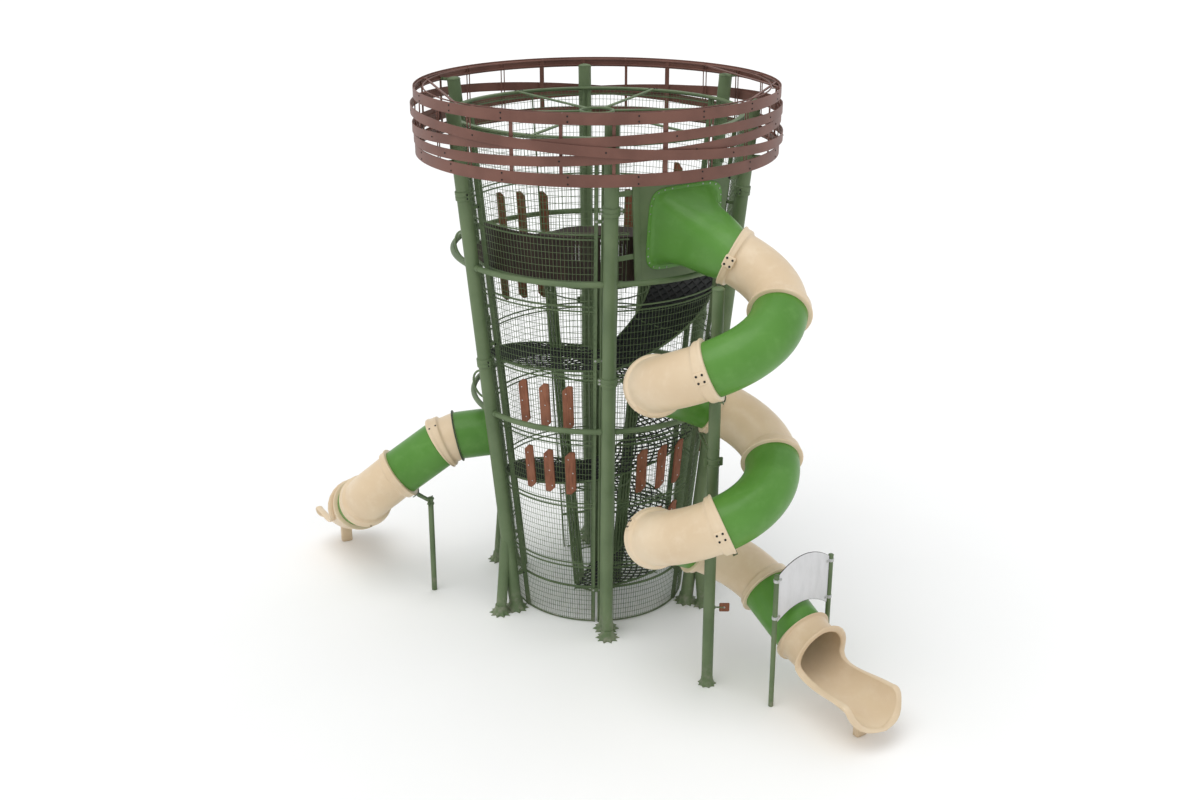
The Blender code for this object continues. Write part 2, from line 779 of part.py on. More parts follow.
def exit_trough(name, path, index, finish):
    """Open end of a slide: a round collar that opens to a wide U."""
    first = path.joints[index]
    last = path.joints[index + 1]
    outer = []
    inner = []
    for row, sweep in enumerate(EXIT_SWEEPS):
        k = first + row
        share = row / (last - first)
        centre = path.points[k]
        tangent = path.tangent(k)
        if k == first:
            centre = centre + tangent * (JOINT_GAP + 0.02)
        outer.append(trough_section(centre, tangent, TUBE_OUTER + 0.012, share, sweep))
        inner.append(trough_section(centre, tangent, TUBE_OUTER - TUBE_WALL, share, sweep))
    piece = trough_body(name, outer, inner)
    tangent = path.tangent(first)
    near = path.points[first] + tangent * JOINT_GAP
    far = near + tangent * EXIT_COLLAR_LENGTH
    walls = [section(near, tangent, BEAD_RADIUS), section(far, tangent, EXIT_COLLAR),
             section(far, tangent, TUBE_OUTER - TUBE_WALL - 0.001),
             section(near, tangent, TUBE_OUTER - TUBE_WALL - 0.001)]
    combine(piece, loft("collar", walls))
    foot = path.points[last - 1]
    leg_top = Vector((foot.x, foot.y, foot.z - TUBE_OUTER - 0.004))
    leg = upright("leg", Vector((foot.x, foot.y, 0.0)), leg_top, 0.05)
    combine(piece, leg)
    return finish_object(piece, finish)


def trough_section(centre, tangent, radius, share, sweep):
    """U section that widens along the trough. sweep is in degrees."""
    side = tangent.cross(Vector((0.0, 0.0, 1.0))).normalized()
    up = side.cross(tangent)
    points = []
    count = 10
    for k in range(count):
        angle = -math.pi / 2.0 + math.radians(sweep) * (k / (count - 1) - 0.5)
        widen = 1.0 + 0.14 * share
        points.append(centre + radius * (widen * math.cos(angle) * side + math.sin(angle) * up))
    return points


def trough_body(name, outer, inner):
    """Join the outer and inner skins of a trough into one closed body."""
    bm = bmesh.new()
    out_rows = [[bm.verts.new(p) for p in row] for row in outer]
    in_rows = [[bm.verts.new(p) for p in row] for row in inner]
    rows = len(out_rows)
    cols = len(out_rows[0])
    for r in range(rows - 1):
        for c in range(cols - 1):
            bm.faces.new((out_rows[r][c], out_rows[r][c + 1], out_rows[r + 1][c + 1],
                          out_rows[r + 1][c]))
            bm.faces.new((in_rows[r][c], in_rows[r + 1][c], in_rows[r + 1][c + 1],
                          in_rows[r][c + 1]))
        for c in (0, cols - 1):
            bm.faces.new((out_rows[r][c], out_rows[r + 1][c], in_rows[r + 1][c], in_rows[r][c]))
    for r in (0, rows - 1):
        for c in range(cols - 1):
            bm.faces.new((out_rows[r][c], out_rows[r][c + 1], in_rows[r][c + 1], in_rows[r][c]))
    bmesh.ops.recalc_face_normals(bm, faces=bm.faces)
    return add_object(name, mesh_from(bm, name))


def slide_post(name, foot, height, tube, path, joints):
    """Round post with a foot collar and an arm under each named joint."""
    top = foot + Vector((0.0, 0.0, height))
    post = upright(name, foot, top, tube)
    collar = upright("collar", foot, foot + Vector((0.0, 0.0, FOOT_COLLAR_HEIGHT)),
                     tube + 0.06, top_radius=tube)
    combine(post, collar)
    for number in joints:
        index = path.joints[number]
        centre = path.points[index]
        tangent = path.tangent(index)
        side = tangent.cross(Vector((0.0, 0.0, 1.0))).normalized()
        up = side.cross(tangent)
        drop = BEAD_RADIUS * math.cos(math.pi / TUBE_SIDES) + SADDLE[2] / 2.0 + FIT
        spot = centre + tangent * (BEAD_LENGTH / 2.0) - up * drop
        saddle = block("saddle", SADDLE, (0.0, 0.0, 0.0))
        frame = Matrix((tangent, side, up)).transposed().to_4x4()
        saddle.data.transform(Matrix.Translation(spot) @ frame)
        start = Vector((foot.x, foot.y, spot.z - ARM_RISE))
        combine(saddle, rod("arm", start, spot - up * ARM_TUBE, ARM_TUBE))
        combine(post, saddle)
    return finish_object(post, "steel_green")


def entrance_panel():
    """Flat plate between two posts with the square mouth of the tall slide."""
    height = PANEL_HIGH - PANEL_LOW
    panel = block("entrance_panel", (PANEL_THICKNESS, 1.0, height), (0.0, 0.0, 0.0))
    for vert in panel.data.vertices:
        side = 1 if vert.co.y > 0.0 else -1
        vert.co.y = side * panel_reach(side, PANEL_MIDDLE + vert.co.z)
    mouth = block("mouth", (0.2, MOUTH_WIDTH, MOUTH_HIGH - MOUTH_LOW),
                  (0.0, HOOD_SHIFT, (MOUTH_LOW + MOUTH_HIGH) / 2.0 - PANEL_MIDDLE))
    combine(panel, mouth, "DIFFERENCE")
    panel.data.transform(panel_place(PANEL_MIDDLE))
    return finish_object(panel, "steel_green")


def hood():
    """Shell that draws the square mouth in the panel to the round tube."""
    place = panel_place(PANEL_MIDDLE)
    end = tall.points[0] - tall.tangent(0) * JOINT_GAP
    tangent = tall.tangent(0)
    face = PANEL_THICKNESS / 2.0 + FIT

    def mouth(inset):
        """Rounded rectangle on the leaning face of the panel."""
        ring = []
        for k in range(TUBE_SIDES):
            turn = 2.0 * math.pi * (k + 0.5) / TUBE_SIDES
            across = math.copysign(abs(math.cos(turn)) ** HOOD_CORNER, math.cos(turn))
            rise = math.copysign(abs(math.sin(turn)) ** HOOD_CORNER, math.sin(turn))
            ring.append(place @ Vector((face, HOOD_SHIFT - across * (HOOD_WIDTH / 2.0 - inset),
                                        (HOOD_LOW + HOOD_HIGH) / 2.0 - PANEL_MIDDLE
                                        + rise * ((HOOD_HIGH - HOOD_LOW) / 2.0 - inset))))
        return ring

    outer_mouth = mouth(0.0)
    inner_mouth = mouth(0.03)
    outer_end = section(end, tangent, TUBE_OUTER)
    inner_end = section(end, tangent, TUBE_OUTER - TUBE_WALL)

    def between(first, last, share, pull):
        """Ring part way from the mouth to the tube, drawn in towards the
        tube's own size."""
        start = sum(first, Vector()) / TUBE_SIDES
        back = (start - end) * (1.0 - share)
        return [a.lerp(b, share).lerp(b + back, pull) for a, b in zip(first, last)]

    outer = [between(outer_mouth, outer_end, *ring) for ring in HOOD_RINGS]
    inner = [between(inner_mouth, inner_end, *ring) for ring in HOOD_RINGS[::-1]]
    piece = loft("entrance_hood", [outer_mouth, *outer, outer_end, inner_end, *inner, inner_mouth])
    return finish_object(piece, "slide_green")


def gate_place(z, offset):
    """Matrix of the leaning plane that touches the left bay's hoops."""
    radius = skin_radius(z) + (SKIN_THICKNESS / 2.0 + offset) / math.cos(math.atan(LEAN))
    return (Matrix.Translation(ring_point(radius, LOW_ANGLE, z))
            @ Matrix.Rotation(LOW_ANGLE, 4, "Z") @ Matrix.Rotation(math.atan(LEAN), 4, "Y"))


def low_gate():
    """Plate on the hoops of the left bay that the low slide starts from."""
    panel = block("low_slide_gate", (GATE_THICKNESS, GATE_WIDTH, GATE_HEIGHT), (0.0, 0.0, 0.0))
    bm = bmesh.new()
    bmesh.ops.create_cone(bm, cap_ends=True, segments=TUBE_SIDES, radius1=TUBE_OUTER - TUBE_WALL,
                          radius2=TUBE_OUTER - TUBE_WALL, depth=0.2)
    bmesh.ops.rotate(bm, verts=bm.verts, matrix=Matrix.Rotation(math.pi / 2.0, 3, "Y"))
    bmesh.ops.translate(bm, verts=bm.verts, vec=(0.0, 0.0, LOW_TOP - GATE_MIDDLE))
    combine(panel, add_object("hole", mesh_from(bm, "hole")), "DIFFERENCE")
    panel.data.transform(gate_place(GATE_MIDDLE, FIT + GATE_THICKNESS / 2.0))
    return finish_object(panel, "steel_green")


def sign():
    """Two thin posts and the bowed plate between them."""
    near, far = SIGN_FEET
    run = far - near
    aim = math.atan2(run.y, run.x)
    for name, foot in zip(("sign_post_near", "sign_post_far"), SIGN_FEET):
        top = foot + Vector((0.0, 0.0, SIGN_HEIGHT))
        finish_object(upright(name, foot, top, SIGN_TUBE, turn=aim + math.pi / ROUND_SIDES),
                      "steel_green")
    length = run.length
    along = run.normalized()
    inset = SIGN_TUBE * math.cos(math.pi / ROUND_SIDES) + FIT
    columns = [inset + (length - 2.0 * inset) * k / 8.0 for k in range(9)]

    def place(column, share):
        bow = 1.0 - (2.0 * column / length - 1.0) ** 2
        low = SIGN_LOW + SIGN_BOW * bow
        high = SIGN_HIGH + SIGN_BOW * bow
        spot = near + along * column
        return Vector((spot.x, spot.y, low + (high - low) * share))

    plate = grid_sheet("sign_plate", columns, (0.0, 1.0), place, lambda i, j: True)
    solidify(plate, 0.010)
    return finish_object(plate, "panel_white")


def wing_plate():
    """Small plate on a thin arm from the post of the tall slide."""
    start = TALL_POST + Vector((TALL_POST_TUBE + FIT, 0.0, WING_LEVEL))
    end = start + Vector((WING_REACH, 0.0, 0.0))
    arm = rod("wing_plate", start, end, WING_ARM)
    plate = block("plate", (0.15, 0.012, 0.14), end)
    combine(arm, plate)
    return finish_object(arm, "plate_rust")


def centre_footprint():
    """Hang every part on one empty that puts the footprint's middle at the
    origin."""
    parts = list(tower_parts.objects)
    corners = [vert.co for part in parts for vert in evaluated_mesh(part).vertices]
    root = bpy.data.objects.new("root", None)
    tower_parts.objects.link(root)
    for axis in (0, 1):
        values = [corner[axis] for corner in corners]
        root.location[axis] = -(min(values) + max(values)) / 2.0
    for part in parts:
        part.parent = root
    bpy.context.view_layer.update()


clear_scene()
tower_parts = new_collection("playground_tower")

for number in range(POST_COUNT):
    post_parts(number)
for ring_name, ring_level in RING_LEVELS.items():
    finish_object(ring_tube(ring_name, ring_level, RING_TUBE), "steel_green")

for number, bay_name in enumerate(BAY_NAMES):
    skin_bay(bay_name, number, **BAY_OPTIONS.get(bay_name, {}))

crown_frame()
BAND_OUTER = CROWN_FRAME_RADIUS + BAND_THICKNESS + FIT
crown_band("crown_band_top", BAND_OUTER, TOP_BAND[1] - TOP_BAND[0], lambda angle: TOP_BAND[0])
crown_band("crown_band_bottom", BAND_OUTER, BOTTOM_BAND[1] - BOTTOM_BAND[0],
           lambda angle: BOTTOM_BAND[0])
for weave_name, sizes in WEAVES.items():
    weave(weave_name, *sizes)

flat_ring("roof_frame", 6, ROOF_RADII, ROOF_TOP, ROOF_BAR, "steel_green")
deck()
guard()
core_cage()
net_ramp("net_ramp_lower", 0, RAMP_STEPS // 2)
net_ramp("net_ramp_upper", RAMP_STEPS // 2, RAMP_STEPS)

# Slide from the platform: two turns down to the right
tall = Path((TALL_POST.x + COIL_RADIUS * math.cos(TALL_START),
             TALL_POST.y + COIL_RADIUS * math.sin(TALL_START), TALL_TOP),
            math.degrees(TALL_START) - 90.0)
for _ in range(8):
    tall.bend(COIL_RADIUS, -ELBOW, ELBOW_DROP)
tall.bend(*TALL_LAST_BEND)
tall.straight(*TALL_RUN)
tall.runout(EXIT_LENGTH, EXIT_DROP)
for k in range(10):
    sand = k % 2 == 0
    tube_piece("tall_slide_tube_%d" % (k + 1), tall, k, (0, 1) if sand else (),
               "slide_sand" if sand else "slide_green")
exit_trough("tall_slide_exit", tall, 10, "slide_sand")
slide_post("tall_slide_post", TALL_POST, TALL_POST_HEIGHT, TALL_POST_TUBE, tall, (2, 4, 6))
entrance_panel()
hood()

# Slide from the landing: short, out to the left and round to the rear
low = Path(gate_place(LOW_TOP, 2.0 * FIT + GATE_THICKNESS).translation, math.degrees(LOW_ANGLE))
low.straight(*LOW_FIRST)
low.straight(*LOW_DIP)
low.straight(*LOW_RUN)
low.straight(*LOW_LEAD, joint=False)
low.bend(*LOW_TURN)
low.straight(*LOW_STUB)
low.runout(LOW_EXIT_LENGTH, LOW_EXIT_DROP)
for k, (finish, ends) in enumerate(LOW_PIECES):
    tube_piece("low_slide_tube_%d" % (k + 1), low, k, ends, finish)
exit_trough("low_slide_exit", low, 5, "slide_sand")
slide_post("low_slide_post", LOW_POST, LOW_POST_HEIGHT, LOW_POST_TUBE, low, (3,))
low_gate()

sign()
wing_plate()

centre_footprint()
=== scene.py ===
import math

import bmesh
import bpy
from mathutils import Matrix, Vector


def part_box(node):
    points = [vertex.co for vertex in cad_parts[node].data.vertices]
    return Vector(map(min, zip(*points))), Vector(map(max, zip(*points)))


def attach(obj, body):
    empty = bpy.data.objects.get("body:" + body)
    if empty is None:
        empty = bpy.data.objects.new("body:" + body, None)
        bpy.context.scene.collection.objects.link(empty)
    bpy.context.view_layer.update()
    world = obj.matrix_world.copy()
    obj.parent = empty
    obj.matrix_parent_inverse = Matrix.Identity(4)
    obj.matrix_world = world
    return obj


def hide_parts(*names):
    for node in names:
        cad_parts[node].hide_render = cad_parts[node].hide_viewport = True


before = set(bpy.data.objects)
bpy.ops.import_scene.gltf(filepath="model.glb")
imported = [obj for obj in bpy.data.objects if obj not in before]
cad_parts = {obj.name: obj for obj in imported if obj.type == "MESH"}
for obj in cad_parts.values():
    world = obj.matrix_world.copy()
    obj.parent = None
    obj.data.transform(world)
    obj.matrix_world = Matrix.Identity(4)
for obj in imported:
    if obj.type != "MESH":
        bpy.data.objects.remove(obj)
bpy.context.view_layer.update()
crown_low, crown_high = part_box("crown_band_top")
# Axis of the tower on the ground: every length below is measured from it
TOWER = Vector(((crown_low[0] + crown_high[0]) / 2.0, (crown_low[1] + crown_high[1]) / 2.0, 0.0))
UP = Vector((0.0, 0.0, 1.0))

# Posts
SIXTH = math.pi / 3.0
FRONT = math.radians(-85.15)
LEAN = 0.105
POST_FOOT = 1.622
POST_HEIGHT = 8.30
POST_TUBE = 0.105
STRUT_FOOT = 1.915
STRUT_TOP = 1.35
STRUT_TUBE = 0.085
CLAMP_LEVELS = (4.37, 6.98)
BRACKET_LEVELS = (0.62, 4.63, 6.78)
CROWN_ARM_LEVELS = (7.49, 8.272)
LUG_LEVELS = (6.25, 7.20)
RINGS = {"ring_beam_lower": 3.54, "ring_beam_upper": 5.89}
RING_TUBE = 0.0425
POSTS = ("post_front", "post_front_right", "post_back_right", "post_back", "post_back_left",
         "post_front_left")

# Mesh skin
SKIN_FOOT = 1.39
SKIN_TOP = 7.95
SKIN_HALF = 0.013
HOOP_SPACING = 1.097
# Each hoop is two bars, this far above and below its level
HOOP_PAIR = 0.0375
HOOP_TUBE = 0.0125
# Share of a bay's width that hoops and wires span
SKIN_REACH = 0.97
STILE_OFFSET = 0.006
STILE_WIDTH = 0.062
# How much farther a bay's last stile is from its post, by bay and side
SETBACKS = {(0, -1.0): -0.126, (5, 1.0): 0.150}
# Bracket bolts round the front post, and how far its bracket reaches to the left
FRONT_BOLTS = (-0.187, -0.089)
FRONT_REACH = 0.150
WIRE = 0.0036
WIRE_COLUMNS = 37
# Upright wires that a bay has more or fewer than that
EXTRA_COLUMNS = {0: 2, 5: -3}
# Gap between level wires at the ground, and its growth for each metre up
WIRE_PITCH = 0.088
WIRE_PITCH_GROWTH = 0.0026
# Start of the doorway and of the tall slide's way in, counter-clockwise from a bay's middle
DOOR_EDGE = -0.236
ENTRANCE_EDGE = -0.80
FOOT_RAIL = 0.64
BAYS = ("bay_front_right", "bay_right", "bay_back_right", "bay_back_left", "bay_left",
        "bay_front_left")

# Crown
CROWN_RADIUS = 2.7385
BAND = 0.012
TOP_BAND = (8.24, 8.395)
BOTTOM_BAND = (7.40, 7.575)
WEAVE_HEIGHT = 0.14
# Woven bands: radius, middle height of the top edge, how far it tilts and towards which angle
WEAVES = (("crown_weave_inner", 2.7640, 7.882, 0.154, 12.6),
          ("crown_weave_middle", 2.7800, 7.993, 0.167, -34.0),
          ("crown_weave_outer", 2.8000, 7.940, 0.210, -174.3))
# Width of the flat upright at every 15 degrees from the front post; 0.0 is a pair of rods
UPRIGHT_WIDTHS = (0.045, 0.075, 0.0, 0.0, 0.055, 0.075, 0.0, 0.0, 0.0, 0.0, 0.075, 0.045,
                  0.045, 0.075, 0.0, 0.0, 0.055, 0.075, 0.0, 0.055, 0.0, 0.0, 0.060, 0.050)
# Straight bars across the corners of the crown, by the angles of their ends
CHORDS = ((-134.8, 167.3), (51.3, -6.4), (-40.6, 3.6))

# Platform, cage and net
DECK_TOP = 5.83
DECK_START = 25.0
DECK_SWEEP = 310.94
# Radius of the platform's edge where it is set back at the rear, by angle
DECK_REAR = ((46.0, 1.92), (51.0, 1.45), (90.0, 1.45), (111.0, 1.437), (117.0, 1.36), (125.5, 1.30),
             (135.0, 1.34), (148.0, 1.38), (153.0, 1.92))
GUARD_START = 205.0
GUARD_SWEEP = 81.5
GUARD_HEIGHT = 0.66
CORE_FOOT = 0.38
CORE_TOP = 0.86
# Bars in each leg of the cage: across it and in from its outer face
CORE_BARS = ((-0.07, 0.0), (-0.024, 0.0), (0.024, 0.0), (0.07, 0.0), (-0.07, 0.045),
             (0.07, 0.045), (-0.07, 0.09), (0.07, 0.09), (-0.07, 0.135), (-0.024, 0.135),
             (0.024, 0.135), (0.07, 0.135))
# Height of the net along its spiral, by angle
RAMP = ((255.0, 0.55), (320.0, 0.72), (574.0, 2.30), (630.0, 2.55), (760.0, 3.30),
        (934.0, 4.32), (1000.0, 4.42), (1105.0, DECK_TOP - 0.045))
# Steep stretches of the net with a close weave under it, in degrees
CLOSE_WEAVE = ((560.0, 632.0), (1000.0, 1105.0))

# Slides
TUBE = 0.385
WALL = 0.010
# Clearance at each end of a moulding
JOINT_GAP = 0.0004
# Outer radius of a beaded end by the distance from its joint
LIP = ((0.000, 0.434), (0.005, 0.443), (0.015, 0.447), (0.028, 0.444), (0.042, 0.433),
       (0.060, 0.430), (0.108, 0.429), (0.120, 0.424), (0.129, 0.411), (0.142, 0.392),
       (0.165, 0.385))
# Outer radius of the neck at an exit, by the distance from its joint
EXIT_NECK = ((0.000, 0.434), (0.006, 0.446), (0.016, 0.451), (0.045, 0.451), (0.056, 0.446),
             (0.064, 0.432), (0.070, 0.410), (0.085, 0.400), (0.150, 0.394), (0.230, 0.392),
             (0.330, 0.392), (0.360, 0.396), (0.385, 0.396), (0.400, 0.388))
# Degrees above level of the trough's lips, by the distance from the joint
EXIT_LIPS = ((0.400, 90.0), (0.408, 62.0), (0.420, 24.0), (0.440, -6.0), (0.480, -16.0),
             (0.560, -22.0), (0.750, -21.9))
# The same towards the rim, by the distance that is left
EXIT_END_LIPS = ((0.55, -9.4), (0.35, -5.4), (0.20, -6.0), (0.10, -30.5), (0.0, -88.0))
TALL_POST = Vector((1.64, -3.25, 0.0))
TALL_TOP = 6.39
TALL_START = math.radians(74.3)
COIL = 0.833
# Middle height of the plate behind the hood, and how far its mouth is set to one side
PANEL_MIDDLE = 6.59
MOUTH_SHIFT = 0.13
LOW_ANGLE = math.radians(184.85)
LOW_TOP = 2.81
GATE_MIDDLE = 2.70
LOW_POST = Vector((-2.74, -0.30, 0.0))
# Pairs of bolts on a collar: joint, tube side, then distance and degrees of each
TALL_BOLTS = ((3, -1, (0.118, 229.0), (0.114, 244.0)), (7, -1, (0.106, 137.0), (0.082, 151.0)))
LOW_BOLTS = ((2, -1, (0.098, 117.0), (0.030, 120.0)), (4, -1, (0.030, 268.0), (0.060, 98.0)))
# Clamp on each collar: joint, degrees round it, tube side
CLAMPS = ((0, 6, 1), (1, 128, 1), (2, 174, 1), (3, 240, -1), (5, 122, 1), (6, 176, 1),
          (7, 146, -1), (9, 78, 1))

# Sign
SIGN_FEET = (Vector((2.53, -3.86, 0.0)), Vector((3.388, -3.204, 0.0)))
SIGN_TUBE = 0.037
SIGN_POST = 2.115
SIGN_LOW = 1.33
SIGN_HIGH = 2.09
SIGN_BOW = 0.21

# Climbing boards: bay, height of the middle one, turn from the bay's middle, rise a board
BOARD_ROWS = ((5, 3.84, 0.0, 0.0), (5, 2.73, 0.0, 0.0), (0, 2.73, 0.0, 0.0), (0, 1.65, 0.0, 0.0),
              (3, 5.99, 2.5, 0.05), (3, 4.94, 5.6, 0.05), (2, 6.20, -1.6, -0.26),
              (1, 4.93, 0.0, 0.0), (1, 2.73, 0.0, 0.0), (4, 4.93, 0.0, 0.0))
BOARD_SPREAD = math.radians(11.6)
BOARD = (0.165, 0.74, 0.028)


# Node graphs

class Value:
    """A socket that can be added, scaled and compared like a number."""

    def __init__(self, graph, socket):
        self.graph = graph
        self.socket = socket

    def out(self, name):
        return Value(self.graph, self.socket.node.outputs[name])

    def maths(self, operation, *others):
        inputs = dict(enumerate((self,) + others))
        return self.graph.add("ShaderNodeMath", {"operation": operation}, inputs)

    def reverse(self, operation, other):
        return self.graph.add("ShaderNodeMath", {"operation": operation}, {0: other, 1: self})

    def __add__(self, other):
        return self.maths("ADD", other)

    def __radd__(self, other):
        return self.reverse("ADD", other)

    def __sub__(self, other):
        return self.maths("SUBTRACT", other)

    def __rsub__(self, other):
        return self.reverse("SUBTRACT", other)

    def __mul__(self, other):
        return self.maths("MULTIPLY", other)

    def __rmul__(self, other):
        return self.reverse("MULTIPLY", other)

    def __truediv__(self, other):
        return self.maths("DIVIDE", other)

    def __rtruediv__(self, other):
        return self.reverse("DIVIDE", other)

    def __pow__(self, other):
        return self.maths("POWER", other)

    def between(self, low, high):
        """0 below low, 1 above high, smooth in the middle."""
        return self.graph.add("ShaderNodeMapRange", {"interpolation_type": "SMOOTHSTEP"},
                              {"Value": self, "From Min": low, "From Max": high})


class Graph:
    """Adds nodes to a tree: type, settings, then inputs."""

    def __init__(self, tree):
        self.tree = tree

    def add(self, kind, settings=None, inputs=None):
        node = self.tree.nodes.new(kind)
        for key, value in (settings or {}).items():
            setattr(node, key, value)
        for key, value in (inputs or {}).items():
            if isinstance(value, Value):
                self.tree.links.new(value.socket, node.inputs[key])
            else:
                node.inputs[key].default_value = value
        return Value(self, node.outputs[0])


class Finish(Graph):
    """Surface of one material. Patterns follow the object's own coordinates."""

    def __init__(self, name, roughness=0.5, metallic=0.0, coat=0.0):
        self.material = bpy.data.materials.new(name)
        self.material.use_nodes = True
        super().__init__(self.material.node_tree)
        self.shader = self.tree.nodes["Principled BSDF"]
        self.shader.inputs["Roughness"].default_value = roughness
        self.shader.inputs["Metallic"].default_value = metallic
        self.shader.inputs["Coat Weight"].default_value = coat
        self.shader.inputs["Specular IOR Level"].default_value = 0.32
        self.place = self.add("ShaderNodeTexCoord").out("Object")
        self.height = self.add("ShaderNodeSeparateXYZ", inputs={0: self.place}).out("Z")

    def noise(self, scale, detail=2.0, roughness=0.5, stretch=None):
        """Cloudy pattern from 0 to 1, scale in waves a metre."""
        place = self.place
        if stretch:
            place = self.add("ShaderNodeMapping", inputs={"Vector": place, "Scale": stretch})
        return self.add("ShaderNodeTexNoise", inputs={"Vector": place, "Scale": scale,
                                                      "Detail": detail, "Roughness": roughness})

    def blend(self, share, first, second):
        """Mix two colours by a share from 0 to 1."""
        node = self.add("ShaderNodeMix", {"data_type": "RGBA"}).socket.node
        for socket, value in ((node.inputs[0], share), (node.inputs[6], first),
                              (node.inputs[7], second)):
            if isinstance(value, Value):
                self.tree.links.new(value.socket, socket)
            else:
                socket.default_value = (*value, 1.0) if isinstance(value, tuple) else value
        return Value(self, node.outputs[2])

    def wear(self, name, value):
        self.tree.links.new(value.socket, self.shader.inputs[name])
        return self

    def relief(self, height, distance, strength=1.0):
        bump = self.add("ShaderNodeBump", inputs={"Height": height, "Distance": distance,
                                                  "Strength": strength})
        return self.wear("Normal", bump)


def painted_steel(name, dark, light, dust=(0.30, 0.28, 0.23), coat=0.0):
    """Powder coat: broad cloudiness, fine speckle, orange peel, dust low down."""
    skin = Finish(name, 0.45, coat=coat)
    broad = skin.noise(1.7, 4.0)
    fine = skin.noise(160.0, 2.0)
    colour = skin.blend(broad.between(0.32, 0.68), dark, light)
    colour = skin.blend((fine - 0.5) * 0.16 + 0.04, colour, (0.30, 0.33, 0.26))
    low = (1.0 - skin.height.between(0.0, 0.55)) * skin.noise(14.0, 5.0).between(0.40, 0.70) * 0.5
    colour = skin.blend(low, colour, dust)
    skin.wear("Base Color", colour)
    skin.wear("Roughness", 0.36 + broad * 0.10 + fine * 0.14 + low * 0.3)
    skin.relief(skin.noise(330.0, 3.0), 0.0005, 0.55)
    return skin.material


def moulded_plastic(name, deep, plain, pale):
    """Rotation-moulded shell: slow tone drift, faint flow marks, fine grain."""
    skin = Finish(name, 0.38, coat=0.08)
    drift = skin.noise(0.9, 3.0)
    flow = skin.noise(5.0, 5.0, 0.6)
    grain = skin.noise(420.0, 2.0)
    scuff = skin.noise(9.0, 8.0, 0.75, (1.0, 1.0, 5.0)).between(0.62, 0.82)
    colour = skin.blend(drift.between(0.30, 0.70), deep, plain)
    colour = skin.blend(flow.between(0.45, 0.80) * 0.35, colour, pale)
    colour = skin.blend(scuff * 0.16, colour, (0.62, 0.60, 0.54))
    skin.wear("Base Color", colour)
    skin.wear("Roughness", 0.27 + drift * 0.10 + grain * 0.12 + scuff * 0.18)
    skin.relief(grain * 0.6 + flow * 0.8, 0.0011, 0.5)
    return skin.material


def board_finish(name, dark, light, band):
    """Recycled board: grain that runs up it, pale flecks and broad lighter patches."""
    skin = Finish(name, 0.62)
    grain = skin.noise(38.0, 6.0, 0.65, (1.0, 1.0, 0.05))
    fleck = skin.noise(75.0, 3.0, 0.6, (1.0, 1.0, 0.30)).between(0.66, 0.74)
    colour = skin.blend(grain.between(0.30, 0.72), dark, light)
    colour = skin.blend(skin.noise(2.6, 3.0).between(0.45, 0.75) * 0.5, colour, band)
    colour = skin.blend(fleck * 0.45, colour, tuple(min(1.0, 2.2 * part) for part in light))
    skin.wear("Base Color", colour)
    skin.wear("Roughness", 0.50 + grain * 0.24)
    skin.relief(grain, 0.0022, 0.7)
    return skin.material


def rope_finish():
    """Braided cord: strands slant round it, with frayed pale fibres."""
    skin = Finish("black_rope", 0.85)
    strand = skin.add("ShaderNodeTexWave", {"bands_direction": "DIAGONAL"},
                      {"Vector": skin.place, "Scale": 42.0, "Distortion": 3.0, "Detail": 2.0})
    strand = strand.out("Fac")
    fuzz = skin.noise(300.0, 3.0)
    colour = skin.blend(strand * 0.7 + fuzz * 0.3, (0.007, 0.008, 0.008), (0.072, 0.075, 0.074))
    skin.wear("Base Color", colour)
    skin.wear("Roughness", 0.70 + fuzz * 0.25)
    skin.relief(strand + fuzz * 0.4, 0.002, 0.8)
    return skin.material


def tread_finish():
    """Platform sheet with a pressed anti-slip grain and trodden dust."""
    skin = Finish("platform_tread", 0.7)
    stud = skin.add("ShaderNodeTexVoronoi", inputs={"Vector": skin.place, "Scale": 42.0})
    dirt = skin.noise(3.2, 5.0, 0.6)
    colour = skin.blend(dirt.between(0.35, 0.7), (0.022, 0.013, 0.009), (0.058, 0.038, 0.028))
    colour = skin.blend(stud.between(0.30, 0.12) * 0.4, colour, (0.105, 0.078, 0.060))
    skin.wear("Base Color", colour)
    skin.wear("Roughness", 0.55 + dirt * 0.3)
    skin.relief(1.0 - stud, 0.002, 0.6)
    return skin.material


def laminate_finish():
    """Pale sign laminate: faint smears and a light film of dust."""
    skin = Finish("sign_laminate", 0.28, coat=0.25)
    smear = skin.noise(6.0, 6.0, 0.7, (1.0, 1.0, 0.3))
    colour = skin.blend(smear.between(0.35, 0.75), (0.690, 0.690, 0.700), (0.600, 0.600, 0.605))
    skin.wear("Base Color", colour)
    skin.wear("Roughness", 0.22 + smear * 0.2)
    skin.relief(skin.noise(240.0, 2.0), 0.0002, 0.4)
    return skin.material


def metal_finish(name, dark, light, roughness, metallic):
    """Small fasteners: blotchy plating with brushed grain."""
    skin = Finish(name, roughness, metallic)
    blotch = skin.noise(55.0, 4.0, 0.6)
    skin.wear("Base Color", skin.blend(blotch.between(0.35, 0.7), dark, light))
    skin.wear("Roughness", roughness - 0.1 + blotch * 0.2)
    skin.relief(skin.noise(600.0, 2.0), 0.0002, 0.5)
    return skin.material


def floor_finish():
    skin = Finish("pale_floor", 0.9)
    cloud = skin.noise(0.35, 3.0)
    skin.wear("Base Color", skin.blend(cloud, (0.93, 0.93, 0.925), (0.96, 0.96, 0.955)))
    skin.wear("Roughness", 0.85 + skin.noise(40.0) * 0.1)
    return skin.material


